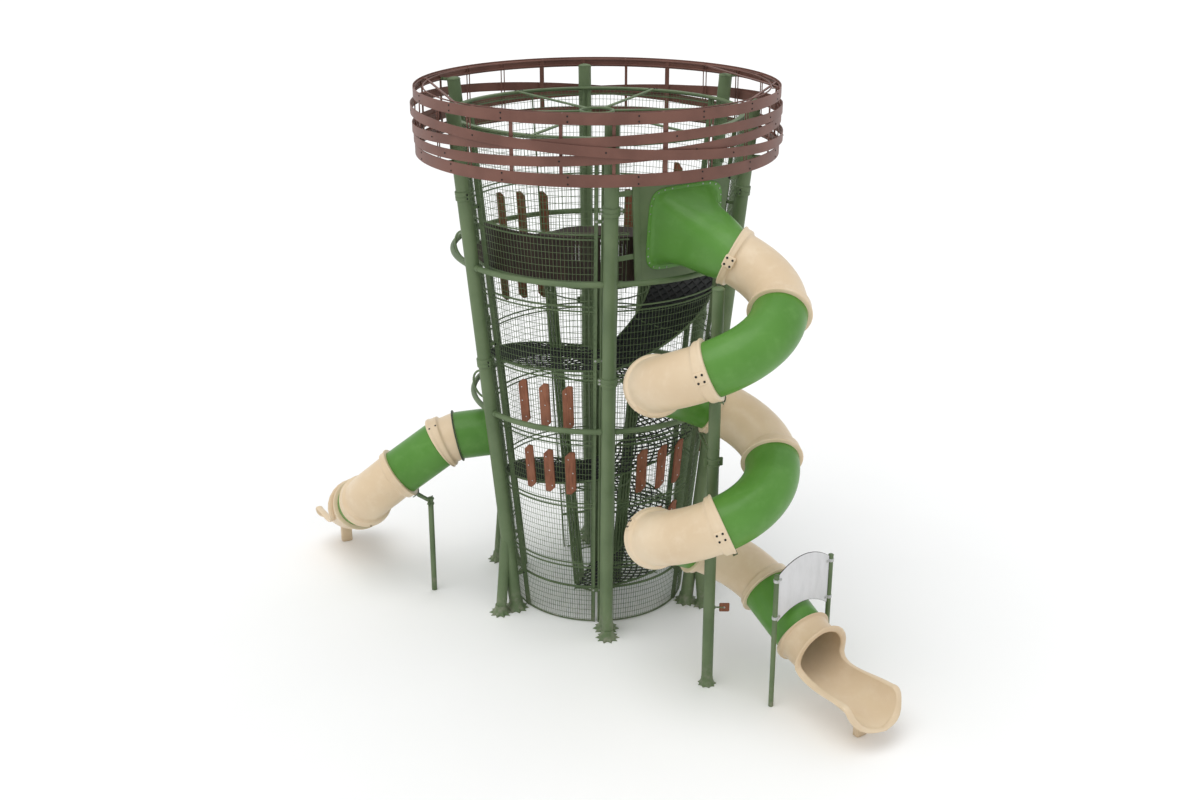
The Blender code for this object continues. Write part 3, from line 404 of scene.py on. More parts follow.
STEEL = painted_steel("green_steel", (0.094, 0.143, 0.062), (0.131, 0.185, 0.087))
WIRE_STEEL = painted_steel("green_wire", (0.030, 0.056, 0.024), (0.052, 0.088, 0.042))
CROWN_PAINT = painted_steel("brown_steel", (0.134, 0.050, 0.036), (0.184, 0.075, 0.055))
GREEN_SHELL = moulded_plastic("green_shell", (0.075, 0.222, 0.027), (0.102, 0.272, 0.043),
                              (0.155, 0.340, 0.082))
SAND_SHELL = moulded_plastic("sand_shell", (0.680, 0.525, 0.345), (0.760, 0.615, 0.432),
                             (0.820, 0.700, 0.535))
# Darker copy of the sand plastic for the two exits: painted shade for the dim inside of their
# troughs, not wear.
SHADED_SAND = moulded_plastic("worn_sand_shell", (0.640, 0.490, 0.320), (0.715, 0.575, 0.400),
                            (0.775, 0.655, 0.495))
BOARD_BROWN = board_finish("rust_board", (0.150, 0.052, 0.024), (0.265, 0.098, 0.050),
                           (0.310, 0.140, 0.085))
SLAT_BROWN = board_finish("dark_slat", (0.014, 0.008, 0.005), (0.038, 0.021, 0.013),
                          (0.052, 0.029, 0.018))
ROPE = rope_finish()
TREAD = tread_finish()
LAMINATE = laminate_finish()
BLACK_BOLT = metal_finish("black_bolt", (0.010, 0.010, 0.010), (0.035, 0.035, 0.034), 0.45, 0.4)
BRIGHT_BOLT = metal_finish("zinc_bolt", (0.34, 0.35, 0.33), (0.52, 0.53, 0.50), 0.38, 0.85)
PALE_METAL = metal_finish("pale_clamp", (0.42, 0.43, 0.42), (0.62, 0.63, 0.62), 0.42, 0.35)
RUBBER = metal_finish("black_rubber", (0.012, 0.012, 0.012), (0.030, 0.030, 0.029), 0.75, 0.0)


# Geometry trees

def new_tree(name, sizes):
    """Empty tree with a geometry input and named sizes."""
    tree = bpy.data.node_groups.new(name, "GeometryNodeTree")
    tree.interface.new_socket("Geometry", in_out="INPUT", socket_type="NodeSocketGeometry")
    for label, kind in sizes:
        tree.interface.new_socket(label, in_out="INPUT", socket_type="NodeSocket" + kind)
    tree.interface.new_socket("Material", in_out="INPUT", socket_type="NodeSocketMaterial")
    tree.interface.new_socket("Geometry", in_out="OUTPUT", socket_type="NodeSocketGeometry")
    graph = Graph(tree)
    return graph, graph.add("NodeGroupInput")


def close_tree(graph, source, shape):
    """Realise the instances and give them their material."""
    plain = graph.add("GeometryNodeRealizeInstances", inputs={"Geometry": shape})
    painted = graph.add("GeometryNodeSetMaterial",
                        inputs={"Geometry": plain, "Material": source.out("Material")})
    result = graph.tree.nodes.new("NodeGroupOutput")
    graph.tree.links.new(painted.socket, result.inputs[0])
    return graph.tree


def thread_tree():
    """Round rod along every line."""
    graph, source = new_tree("rods_on_lines", (("Radius", "Float"), ("Sides", "Int")))
    curve = graph.add("GeometryNodeMeshToCurve", inputs={"Mesh": source})
    circle = graph.add("GeometryNodeCurvePrimitiveCircle",
                       inputs={"Radius": source.out("Radius"), "Resolution": source.out("Sides")})
    rod = graph.add("GeometryNodeCurveToMesh",
                    inputs={"Curve": curve, "Profile Curve": circle, "Fill Caps": True})
    return close_tree(graph, source, rod)


def aimed(graph):
    """Rotation that turns +Z to the aim kept on each point."""
    aim = graph.add("GeometryNodeInputNamedAttribute", {"data_type": "FLOAT_VECTOR"},
                    {"Name": "aim"})
    return graph.add("FunctionNodeAlignRotationToVector", {"axis": "Z"}, {"Vector": aim})


def disc(graph, sides, radius, depth):
    """Short cylinder that stands on its origin."""
    body = graph.add("GeometryNodeMeshCylinder",
                     inputs={"Vertices": sides, "Radius": radius, "Depth": depth})
    lift = graph.add("ShaderNodeCombineXYZ", inputs={"Z": depth * 0.5})
    return graph.add("GeometryNodeTransform", inputs={"Geometry": body, "Translation": lift})


def bolt_tree():
    """Hexagon head on a round washer at every point."""
    graph, source = new_tree("bolts_on_points", (("Radius", "Float"),))
    radius = source.out("Radius")
    head = disc(graph, 6, radius, radius * 1.1)
    washer = disc(graph, 12, radius * 1.65, radius * 0.35)
    bolt = graph.add("GeometryNodeJoinGeometry", inputs={"Geometry": head})
    graph.tree.links.new(washer.socket, bolt.socket.node.inputs[0])
    placed = graph.add("GeometryNodeInstanceOnPoints",
                       inputs={"Points": source, "Instance": bolt, "Rotation": aimed(graph)})
    return close_tree(graph, source, placed)


def knot_tree():
    """Small bead at every crossing of the ropes."""
    graph, source = new_tree("knots_on_points", (("Radius", "Float"),))
    bead = graph.add("GeometryNodeMeshIcoSphere",
                     inputs={"Radius": source.out("Radius"), "Subdivisions": 1})
    placed = graph.add("GeometryNodeInstanceOnPoints",
                       inputs={"Points": source, "Instance": bead})
    return close_tree(graph, source, placed)


def slat_tree():
    """Upright slats set side by side along a level line."""
    graph, source = new_tree("slats_on_line", (("Pitch", "Float"), ("Width", "Float"),
                                               ("Thickness", "Float"), ("Height", "Float")))
    curve = graph.add("GeometryNodeMeshToCurve", inputs={"Mesh": source})
    points = graph.add("GeometryNodeCurveToPoints", {"mode": "LENGTH"},
                       {"Curve": curve, "Length": source.out("Pitch")})
    size = graph.add("ShaderNodeCombineXYZ", inputs={"X": source.out("Width"),
                                                     "Y": source.out("Thickness"),
                                                     "Z": source.out("Height")})
    slat = graph.add("GeometryNodeMeshCube", inputs={"Size": size})
    turn = graph.add("FunctionNodeAlignRotationToVector", {"axis": "X", "pivot_axis": "Z"},
                     {"Vector": points.out("Tangent")})
    placed = graph.add("GeometryNodeInstanceOnPoints",
                       inputs={"Points": points, "Instance": slat, "Rotation": turn})
    return close_tree(graph, source, placed)


RODS = thread_tree()
BOLTS = bolt_tree()
KNOTS = knot_tree()
SLATS = slat_tree()


def grow(tree, points, edges=(), aims=None, **sizes):
    """Run a tree over points and lines and give back a plain mesh."""
    source = bpy.data.meshes.new("lines")
    source.from_pydata(points, edges, [])
    if aims:
        kept = source.attributes.new("aim", "FLOAT_VECTOR", "POINT")
        kept.data.foreach_set("vector", [value for aim in aims for value in aim])
    holder = bpy.data.objects.new("lines", source)
    bpy.context.scene.collection.objects.link(holder)
    modifier = holder.modifiers.new("grow", "NODES")
    modifier.node_group = tree
    for item in tree.interface.items_tree:
        if item.in_out == "INPUT" and item.name in sizes:
            modifier[item.identifier] = sizes[item.name]
    graph = bpy.context.evaluated_depsgraph_get()
    mesh = bpy.data.meshes.new_from_object(holder.evaluated_get(graph))
    holder.modifiers.remove(modifier)
    bpy.data.objects.remove(holder, do_unlink=True)
    return mesh


# Places on the tower

def ring_point(radius, angle, z):
    return Vector((radius * math.cos(angle), radius * math.sin(angle), z))


def outward(angle):
    return Vector((math.cos(angle), math.sin(angle), 0.0))


def post_radius(z):
    return POST_FOOT + LEAN * z


def skin_radius(z):
    return SKIN_FOOT + LEAN * z


def core_radius(z):
    return CORE_FOOT + (CORE_TOP - CORE_FOOT) * z / (DECK_TOP - 0.05)


def post_angle(index):
    return FRONT + index * SIXTH


def skin_normal(angle):
    return Vector((math.cos(angle), math.sin(angle), -LEAN)).normalized()


def axes(origin, along, guide=UP):
    """Frame with Z along the given direction and Y close to the guide."""
    z = Vector(along).normalized()
    x = guide.cross(z)
    x = x.normalized() if x.length > 0.001 else Vector((1.0, 0.0, 0.0))
    y = z.cross(x)
    made = Matrix((x, y, z)).transposed().to_4x4()
    made.translation = origin
    return made


def facing(angle, radius, z, lean=0.0):
    """Frame on the tower: X outward, Y round it, Z up the lean."""
    return (Matrix.Translation(ring_point(radius, angle, z)) @ Matrix.Rotation(angle, 4, "Z")
            @ Matrix.Rotation(lean, 4, "Y"))


def panel_place(z):
    """Leaning plane through the two posts that carry the entrance panel."""
    angle = FRONT + SIXTH / 2.0
    lean = math.atan(LEAN * math.cos(SIXTH / 2.0))
    return facing(angle, post_radius(z) * math.cos(SIXTH / 2.0), z, lean)


def gate_place(z, offset):
    """Leaning plane that touches the hoops of the left bay."""
    radius = skin_radius(z) + (SKIN_HALF + offset) / math.cos(math.atan(LEAN))
    return facing(LOW_ANGLE, radius, z, math.atan(LEAN))


def table_value(table, place):
    """Straight-line reading of (place, value) pairs; the last value past the end."""
    for (near, first), (far, last) in zip(table, table[1:]):
        if place <= far:
            return first + (last - first) * (place - near) / (far - near)
    return table[-1][1]


def side_and_up(aim):
    """Level direction across a slide and the one square to both."""
    side = aim.cross(UP).normalized()
    return side, side.cross(aim)


def soft_square(turn, power):
    """Point at an angle of a square with round corners; a higher power is rounder."""
    return [math.copysign(abs(part) ** power, part) for part in (math.cos(turn), math.sin(turn))]


def arc(radius, start, end, z, steps):
    """Level arc, angles in radians."""
    return [ring_point(radius, start + (end - start) * k / steps, z) for k in range(steps + 1)]


# Pieces

class Piece:
    """Faces of one piece, gathered part by part."""

    def __init__(self, name, material):
        self.name = name
        self.points = []
        self.faces = []
        self.slots = []
        self.materials = []
        self.paint(material)

    def paint(self, material):
        if material not in self.materials:
            self.materials.append(material)
        self.slot = self.materials.index(material)
        return self

    def add(self, points, faces):
        base = len(self.points)
        self.points.extend(points)
        self.faces.extend([tuple(base + corner for corner in face) for face in faces])
        self.slots.extend([self.slot] * len(faces))
        return self

    def take(self, mesh):
        """Add the faces of a grown mesh."""
        self.add([vert.co.copy() for vert in mesh.vertices],
                 [tuple(face.vertices) for face in mesh.polygons])
        bpy.data.meshes.remove(mesh)
        return self

    def loft(self, rings, wrap=False):
        """Skin through closed rings; wrap joins the last ring to the first."""
        sides = len(rings[0])
        count = len(rings)
        faces = []
        for row in range(count if wrap else count - 1):
            nxt = (row + 1) % count
            for k in range(sides):
                turn = (k + 1) % sides
                faces.append((row * sides + k, row * sides + turn, nxt * sides + turn,
                              nxt * sides + k))
        if not wrap:
            faces.append(tuple(range(sides))[::-1])
            faces.append(tuple((count - 1) * sides + k for k in range(sides)))
        return self.add([Vector(point) for ring in rings for point in ring], faces)

    def turned(self, place, profile, sides=32, wrap=False):
        """Round part from (radius, height) pairs about the frame's Z."""
        rings = []
        for radius, height in profile:
            rings.append([place @ Vector((radius * math.cos(2.0 * math.pi * k / sides),
                                          radius * math.sin(2.0 * math.pi * k / sides), height))
                          for k in range(sides)])
        return self.loft(rings, wrap)

    def rod(self, path, radius, sides=12, closed=False):
        """Round rod through points. radius is one number or one a point."""
        path = [Vector(point) for point in path]
        count = len(path)
        rings = []
        side = None
        for index, point in enumerate(path):
            before = path[index - 1] if closed or index else point
            after = path[(index + 1) % count] if closed or index < count - 1 else point
            tangent = (after - before).normalized()
            if side is None:
                guide = UP if abs(tangent.z) < 0.9 else Vector((1.0, 0.0, 0.0))
                side = tangent.cross(guide).normalized()
            side = (side - tangent * side.dot(tangent)).normalized()
            up = side.cross(tangent)
            size = radius[index] if isinstance(radius, (list, tuple)) else radius
            rings.append([point + size * (math.cos(2.0 * math.pi * k / sides) * side
                                          + math.sin(2.0 * math.pi * k / sides) * up)
                          for k in range(sides)])
        return self.loft(rings, closed)

    def hoop(self, radius, level, tube, steps, sides):
        """Closed ring of round bar about the tower's axis."""
        return self.rod(arc(radius, 0.0, 2.0 * math.pi, level, steps)[:-1], tube, sides,
                        closed=True)

    def slab(self, place, width, height, depth, corner=0.006, soft=0.003):
        """Plate with rounded corners and softened edges. Depth runs along Z
        of the frame, both ways from its origin."""
        outline = rounded(width, height, corner)
        rings = []
        for level, inset in ((-0.5 * depth, soft), (-0.5 * depth + soft, 0.0),
                             (0.5 * depth - soft, 0.0), (0.5 * depth, soft)):
            fit = ((width - 2.0 * inset) / width, (height - 2.0 * inset) / height)
            rings.append([place @ Vector((x * fit[0], y * fit[1], level)) for x, y in outline])
        return self.loft(rings)

    def beam(self, start, end, width, depth, guide, corner=0.006):
        """Rectangular bar between two points. depth lies along the guide."""
        start = Vector(start)
        end = Vector(end)
        place = axes((start + end) / 2.0, end - start, guide)
        return self.slab(place, width, depth, (end - start).length, corner)

    def bolts(self, spots, radius=0.011, material=None):
        """Bolt heads on (point, aim) pairs."""
        kept = self.slot
        self.paint(material or BLACK_BOLT)
        self.take(grow(BOLTS, [spot for spot, _ in spots], aims=[aim for _, aim in spots],
                       Radius=radius, Material=material or BLACK_BOLT))
        self.slot = kept
        return self

    def threads(self, lines, radius, sides=6, material=None):
        """Rods along many lines at once."""
        kept = self.slot
        if material:
            self.paint(material)
        points = [point for line in lines for point in line]
        edges = []
        base = 0
        for line in lines:
            edges += [(base + k, base + k + 1) for k in range(len(line) - 1)]
            base += len(line)
        self.take(grow(RODS, points, edges, Radius=radius, Sides=sides,
                       Material=self.materials[self.slot]))
        self.slot = kept
        return self

    def finish(self, *nodes, angle=40.0, slot=None):
        """Make the mesh, set it on the tower and let it stand for CAD nodes.
        Leaning tubes are cut level at the ground."""
        mesh = bpy.data.meshes.new(self.name)
        mesh.from_pydata([Vector((point.x, point.y, max(point.z, 0.0))) + TOWER
                          for point in self.points], [], self.faces)
        for material in self.materials:
            mesh.materials.append(material)
        mesh.polygons.foreach_set("material_index", self.slots)
        bm = bmesh.new()
        bm.from_mesh(mesh)
        bmesh.ops.recalc_face_normals(bm, faces=bm.faces)
        bm.to_mesh(mesh)
        bm.free()
        mesh.shade_smooth()
        mesh.set_sharp_from_angle(angle=math.radians(angle))
        piece = bpy.data.objects.new(self.name, mesh)
        bpy.context.scene.collection.objects.link(piece)
        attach(piece, "root")
        if nodes:
            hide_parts(*nodes)
        return piece


def rounded(width, height, corner, steps=3):
    """Rounded rectangle as (x, y) pairs, counter-clockwise."""
    outline = []
    for cx, cy, start in ((1, 1, 0.0), (-1, 1, 90.0), (-1, -1, 180.0), (1, -1, 270.0)):
        for k in range(steps + 1):
            turn = math.radians(start + 90.0 * k / steps)
            outline.append((cx * (width / 2.0 - corner) + corner * math.cos(turn),
                            cy * (height / 2.0 - corner) + corner * math.sin(turn)))
    return outline


# Posts

def leaf_foot(piece, centre, tube, leaves=10, reach=0.105, rise=0.15):
    """Pressed cover at the foot of a tube: pointed leaves spread on the ground."""
    sides = leaves * 6
    rings = []
    for height, flare in ((1.0, 0.0), (0.75, 0.05), (0.5, 0.16), (0.3, 0.36), (0.14, 0.68),
                          (0.03, 1.0), (0.0, 1.0)):
        ring = []
        for k in range(sides):
            wave = abs((k % 6) / 3.0 - 1.0)
            point = 0.42 + 0.58 * wave ** 1.6
            radius = tube + 0.003 + reach * flare * (1.0 - flare + flare * point)
            ring.append(centre + ring_point(radius, 2.0 * math.pi * k / sides, rise * height))
        rings.append(ring)
    piece.loft(rings)


def post_clamp(piece, spot, along, normal):
    """Two-part clamp round a post with a bolted ear on either side. Gives back
    its bolt heads."""
    across = UP.cross(normal)
    piece.turned(axes(spot, along, normal), (
        (0.104, -0.070), (0.116, -0.068), (0.123, -0.060), (0.123, -0.010), (0.118, -0.006),
        (0.118, 0.006), (0.123, 0.010), (0.123, 0.060), (0.116, 0.068), (0.104, 0.070)))
    heads = []
    for side in (-1.0, 1.0):
        ear = spot + across * side * 0.139
        for shift in (-0.009, 0.009):
            piece.slab(axes(ear + normal * shift, normal, along), 0.060, 0.100, 0.012, 0.016)
        for rise in (-0.028, 0.028):
            for face in (-1.0, 1.0):
                heads.append((ear + along * rise + across * side * 0.004
                              + normal * face * 0.015, normal * face))
    return heads


def skin_bracket(piece, angle, level, front):
    """Plate across two stiles on an arm from the post. The front post's plate
    reaches farther to the left. Gives back its bolt heads."""
    inner = skin_radius(level) + SKIN_HALF + 0.003
    place = facing(angle, inner + 0.005, level, math.atan(LEAN))
    wide = FRONT_REACH if front else 0.0
    piece.slab(place @ Matrix.Translation((0.0, -wide / 2.0, 0.0))
               @ Matrix.Rotation(math.pi / 2.0, 4, "Y"), 0.060,
               2.0 * (STILE_OFFSET + STILE_WIDTH) + wide - 0.004, 0.010, 0.008)
    piece.beam(ring_point(inner + 0.01, angle, level),
               ring_point(post_radius(level) - 0.09, angle, level), 0.048, 0.050,
               UP.cross(outward(angle)), 0.008)
    return [(place @ Vector((0.005, reach, 0.0)), outward(angle))
            for reach in (FRONT_BOLTS if front else (-0.037, 0.037))]


def panel_lug(piece, side, level):
    """Plate that holds the entrance panel beside a post."""
    place = panel_place(level)
    reach = post_radius(level) * math.sin(SIXTH / 2.0)
    inner = panel_reach(side, level) - 0.05
    middle = place @ Vector((-0.0124, side * (reach + inner) / 2.0, 0.0))
    piece.slab(axes(middle, place.to_3x3() @ Vector((1.0, 0.0, 0.0)), place.to_3x3() @ UP),
               reach - inner, 0.080, 0.012, 0.012)


def post_piece(index):
    """One post with its strut, leaf feet, clamps, brackets and cap."""
    angle = post_angle(index)
    normal = outward(angle)
    across = UP.cross(normal)
    name = POSTS[index]
    piece = Piece(name + "_tube", STEEL)
    foot = ring_point(POST_FOOT, angle, 0.0)
    top = ring_point(post_radius(POST_HEIGHT - 0.03), angle, POST_HEIGHT - 0.03)
    along = (top - foot).normalized()
    piece.rod([foot.lerp(top, k / 6.0) for k in range(7)], POST_TUBE, 32)
    piece.turned(axes(top, along), ((0.104, 0.0), (0.109, 0.002), (0.109, 0.014), (0.101, 0.026),
                                    (0.074, 0.040), (0.037, 0.048), (0.006, 0.050)))
    strut_foot = ring_point(STRUT_FOOT, angle, 0.0)
    strut_top = ring_point(post_radius(STRUT_TOP) + 0.02, angle, STRUT_TOP)
    piece.rod([strut_foot.lerp(strut_top, k / 3.0) for k in range(4)], STRUT_TUBE, 28)
    weld = strut_foot.lerp(strut_top, 0.94)
    piece.rod([strut_foot.lerp(strut_top, 0.70), strut_foot.lerp(strut_top, 0.72), weld],
              (0.086, 0.089, 0.089), 28)
    leaf_foot(piece, foot, POST_TUBE)
    leaf_foot(piece, strut_foot, STRUT_TUBE)
    heads = []
    for level in CLAMP_LEVELS:
        heads += post_clamp(piece, ring_point(post_radius(level), angle, level), along, normal)
    for level in CROWN_ARM_LEVELS:
        start = ring_point(post_radius(level) + 0.08, angle, level)
        end = ring_point(CROWN_RADIUS * math.cos(math.pi / 48.0) - BAND - 0.001, angle, level)
        piece.beam(start, end, 0.052, 0.012, across)
        piece.beam(start, end, 0.058, 0.010, UP)
        heads.append((end - normal * 0.035 + across * 0.006, across))
    for level in BRACKET_LEVELS:
        heads += skin_bracket(piece, angle, level, index == 0)
    if index < 2:
        for level in LUG_LEVELS:
            panel_lug(piece, -1.0 if index == 0 else 1.0, level)
    piece.bolts(heads, 0.0105, BRIGHT_BOLT if index == 0 else None)
    return piece.finish(name)


def panel_reach(side, z):
    """From the mouth's side of the entrance panel to its edge at a height."""
    return (0.69 if side < 0.0 else 0.78) + 0.17 * (z - 5.80) / 1.58


def ring_beam(name, level):
    """Round beam through the posts, with welded sleeves beside each post."""
    piece = Piece(name + "_tube", STEEL)
    radius = post_radius(level)
    piece.hoop(radius, level, RING_TUBE, 144, 18)
    for index in range(6):
        for side in (-1.0, 1.0):
            middle = post_angle(index) + side * 0.068
            piece.rod(arc(radius, middle - 0.012, middle + 0.012, level, 3), RING_TUBE + 0.006, 18)
    return piece.finish(name)


# Skin

def bay_openings(index):
    """Tests for the parts of a bay that are left open: reach from the bay's
    middle in metres, counter-clockwise, and height."""
    def nowhere(across, z):
        return False

    def entrance(across, z):
        return across > ENTRANCE_EDGE and 5.44 < z < 7.90

    def gate(across, z):
        return abs(across) < 0.525 and 2.15 < z < 3.26

    def doorway(across, z):
        return across > DOOR_EDGE and z < 2.15

    return {0: entrance, 3: doorway, 4: gate}.get(index, nowhere)


def kept_spans(points):
    """Runs of a line of (point, left open) samples that are kept."""
    spans = []
    run = []
    for point, left_open in points:
        if left_open:
            if len(run) > 1:
                spans.append(run)
            run = []
        else:
            run.append(point)
    if len(run) > 1:
        spans.append(run)
    return spans


def bay_piece(index):
    """Hoops, stiles and welded wire of one bay, with a bar beside the doorway."""
    name = BAYS[index]
    middle = post_angle(index) + SIXTH / 2.0
    is_open = bay_openings(index)
    piece = Piece(name + "_mesh", STEEL)
    normal = skin_normal(middle)

    def turn(share, z):
        """Angle from the bay's middle; share runs from -1 to 1 between its ends."""
        low, high = [side * (SIXTH / 2.0 - math.asin(
            (STILE_OFFSET + SETBACKS.get((index, side), 0.0)) / skin_radius(z)))
            for side in (-1.0, 1.0)]
        return (low + high) / 2.0 + share * (high - low) / 2.0

    def spot(share, z, proud=0.0):
        return ring_point(skin_radius(z) + proud, middle + turn(share, z), z)

    def kept_level(z, proud, left_out):
        """Runs of a level line across the bay that are kept."""
        samples = []
        for k in range(25):
            share = -SKIN_REACH + 2.0 * SKIN_REACH * k / 24.0
            samples.append((spot(share, z, proud), left_out(turn(share, z) * skin_radius(z), z)))
        return kept_spans(samples)

    def hoop_gap(across, z):
        return (index == 3 and across > DOOR_EDGE and z < 2.0) or (
            index == 0 and across > ENTRANCE_EDGE and 6.0 < z < 7.0)

    for side in (-1.0, 1.0):
        ends = []
        for z in (0.004, SKIN_TOP - 0.002):
            reach = (turn(1.0, z) - turn(-1.0, z)) * skin_radius(z) / 2.0
            ends.append(spot(side * (1.0 - STILE_WIDTH / 2.0 / reach), z))
        piece.beam(*ends, STILE_WIDTH, 0.026, normal, 0.007)
    hoops = [0.017] + [k * HOOP_SPACING - 0.045 for k in range(1, 7)] + [SKIN_TOP - 0.050]
    lines = []
    for number, level in enumerate(hoops):
        for shift in ((0.0,) if number == 0 else (-HOOP_PAIR, HOOP_PAIR)):
            lines += kept_level(level + shift, 0.0, hoop_gap)
    piece.threads(lines, HOOP_TUBE, 8)
    if index == 3:
        bar = []
        for k in range(7):
            z = 0.02 + (SKIN_TOP - 0.05) * k / 6.0
            bar.append(ring_point(skin_radius(z), middle + DOOR_EDGE / skin_radius(z), z))
        piece.threads([bar], 0.0120, 10)
    proud = HOOP_TUBE + WIRE
    uprights = []
    columns = WIRE_COLUMNS + EXTRA_COLUMNS.get(index, 0)
    for k in range(1, columns):
        share = -SKIN_REACH + 2.0 * SKIN_REACH * k / columns
        samples = []
        for step in range(213):
            z = 0.02 + (SKIN_TOP - 0.04) * step / 212.0
            across = turn(share, z) * skin_radius(z)
            samples.append((spot(share, z, proud), is_open(across, z)))
        uprights += [[run[0], run[-1]] for run in kept_spans(samples)]
    piece.threads(uprights, WIRE, 4)
    levels = []
    z = 0.06
    while z < SKIN_TOP - 0.04:
        levels += [run[::2] if len(run) == 25 else run
                   for run in kept_level(z, proud + 1.6 * WIRE, is_open)]
        z += WIRE_PITCH + WIRE_PITCH_GROWTH * z
    piece.threads(levels, WIRE, 4)
    return piece.finish(name)


def foot_rail():
    """Round rail on the inside of the stiles, open at the doorway."""
    piece = Piece("foot_rail", STEEL)
    radius = skin_radius(FOOT_RAIL) - SKIN_HALF - 0.018
    end = post_angle(9) + SIXTH / 2.0 + DOOR_EDGE / skin_radius(FOOT_RAIL)
    piece.rod(arc(radius, post_angle(4), end, FOOT_RAIL, 120), 0.019, 12)
    return piece.finish(slot="ring_beam_lower")


def board_group(index, number, level, shift, climb):
    """Three climbing boards bolted to the outside of a bay."""
    middle = post_angle(index) + SIXTH / 2.0 + math.radians(shift)
    piece = Piece("climbing_boards_%d" % number, BOARD_BROWN)
    width, height, thick = BOARD
    heads = []
    for step in (-1, 0, 1):
        angle = middle + step * BOARD_SPREAD
        high = level + step * climb
        base = skin_radius(high) + HOOP_TUBE + 5.0 * WIRE + thick / 2.0 + 0.002
        place = facing(angle, base, high, math.atan(LEAN))
        outline = [(-width / 2.0 + 0.010, -height / 2.0), (width / 2.0 - 0.090, -height / 2.0),
                   (width / 2.0 - 0.080, -height / 2.0 + 0.004),
                   (width / 2.0, -height / 2.0 + 0.090), (width / 2.0, height / 2.0 - 0.010),
                   (width / 2.0 - 0.010, height / 2.0), (-width / 2.0 + 0.090, height / 2.0),
                   (-width / 2.0 + 0.080, height / 2.0 - 0.004),
                   (-width / 2.0, height / 2.0 - 0.090), (-width / 2.0, -height / 2.0 + 0.010)]
        rings = []
        for depth, fit in ((-0.5, 0.95), (-0.38, 1.0), (0.38, 1.0), (0.5, 0.95)):
            rings.append([place @ Vector((depth * thick, x * fit, z * (1.0 - (1.0 - fit) * 0.25)))
                          for x, z in outline])
        piece.loft(rings)
        for rise in (-0.25, 0.01, 0.24):
            spot = place @ Vector((thick / 2.0 - 0.001, 0.04 * math.sin(19.0 * rise + step), rise))
            heads.append((spot, skin_normal(angle)))
    piece.bolts(heads, 0.0065, PALE_METAL)
    return piece.finish(slot=BAYS[index])


def grab_loop(number, level):
    """Bent grab handle on the left stile side of the front left post."""
    angle = post_angle(5)
    piece = Piece("grab_loop_%d" % number, STEEL)
    base = ring_point(post_radius(level), angle, level)
    across = Vector((math.sin(angle), -math.cos(angle), 0.0))
    reach = (across * 0.9 + outward(angle) * 0.35).normalized()
    along = Vector((LEAN * math.cos(angle), LEAN * math.sin(angle), 1.0)).normalized()
    half = 0.225
    path = [base - along * half + reach * 0.09]
    for k in range(1, 20):
        turn = math.radians(-100.0 + 200.0 * k / 20.0)
        path.append(base + reach * (0.085 + 0.19 * max(0.0, math.cos(turn)))
                    + along * half * math.sin(turn))
    path.append(base + along * half + reach * 0.09)
    piece.rod(path, 0.017, 12)
    return piece.finish(slot="post_front_left")


# Crown

def band_piece(name, radius, low_edge, height):
    """Rolled flat band with softened edges; low_edge(angle) gives its foot."""
    piece = Piece(name + "_band", CROWN_PAINT)
    rings = []
    steps = 180
    for k in range(steps):
        angle = FRONT + 2.0 * math.pi * k / steps
        low = low_edge(angle)
        profile = ((radius - BAND, low + 0.002), (radius - BAND + 0.002, low),
                   (radius - 0.002, low), (radius, low + 0.002), (radius, low + height - 0.002),
                   (radius - 0.002, low + height), (radius - BAND + 0.002, low + height),
                   (radius - BAND, low + height - 0.002))
        rings.append([ring_point(reach, angle, z) for reach, z in profile])
    piece.loft(rings, wrap=True)
    return piece


def crown():
    """Top and bottom bands, three woven bands and the frame inside them."""
    for name, span in (("crown_band_top", TOP_BAND), ("crown_band_bottom", BOTTOM_BAND)):
        piece = band_piece(name, CROWN_RADIUS + BAND, lambda angle, low=span[0]: low,
                           span[1] - span[0])
        heads = []
        for k in range(18):
            angle = FRONT + math.radians(7.0 + 20.0 * k)
            for rise in (0.04, span[1] - span[0] - 0.04):
                heads.append((ring_point(CROWN_RADIUS + BAND, angle, span[0] + rise),
                              outward(angle)))
        piece.bolts(heads, 0.008)
        piece.finish(name)
    for name, radius, level, tilt, towards in WEAVES:
        def edge(angle, level=level, tilt=tilt, towards=towards):
            return level - WEAVE_HEIGHT + tilt * math.cos(angle - math.radians(towards))

        piece = band_piece(name, radius, edge, WEAVE_HEIGHT)
        heads = []
        for k in range(9):
            angle = FRONT + math.radians(12.0 + 40.0 * k + towards)
            heads.append((ring_point(radius, angle, edge(angle) + WEAVE_HEIGHT / 2.0),
                          outward(angle)))
        piece.bolts(heads, 0.008)
        piece.finish(name)
    piece = Piece("crown_frame_rails", CROWN_PAINT)
    inner = CROWN_RADIUS - BAND / 2.0 - 0.004
    for level in (BOTTOM_BAND[0] + 0.035, BOTTOM_BAND[1] - 0.035, TOP_BAND[0] + 0.030,
                  TOP_BAND[1] - 0.035):
        piece.hoop(inner, level, 0.013, 144, 8)
    piece.hoop(inner - 0.13, TOP_BAND[1] - 0.02, 0.011, 144, 8)
    for first, last in CHORDS:
        ends = [ring_point(inner - 0.02, math.radians(turn), TOP_BAND[1] - 0.03)
                for turn in (first, last)]
        piece.beam(*ends, 0.034, 0.020, UP, 0.004)
    rods = []
    for k in range(24):
        angle = FRONT + math.radians(15.0 * k)
        low = BOTTOM_BAND[0] + 0.02
        high = TOP_BAND[1] - 0.02
        if UPRIGHT_WIDTHS[k]:
            piece.beam(ring_point(inner, angle, low), ring_point(inner, angle, high),
                       UPRIGHT_WIDTHS[k], 0.010, outward(angle), 0.003)
        else:
            for shift in (-0.0105, 0.0105):
                rods.append([ring_point(inner, angle + shift, low),
                             ring_point(inner, angle + shift, high)])
        if k % 2:
            rods.append([ring_point(inner, angle, high), ring_point(inner - 0.13, angle, high)])
    piece.threads(rods, 0.009, 8)
    piece.finish("crown_frame")


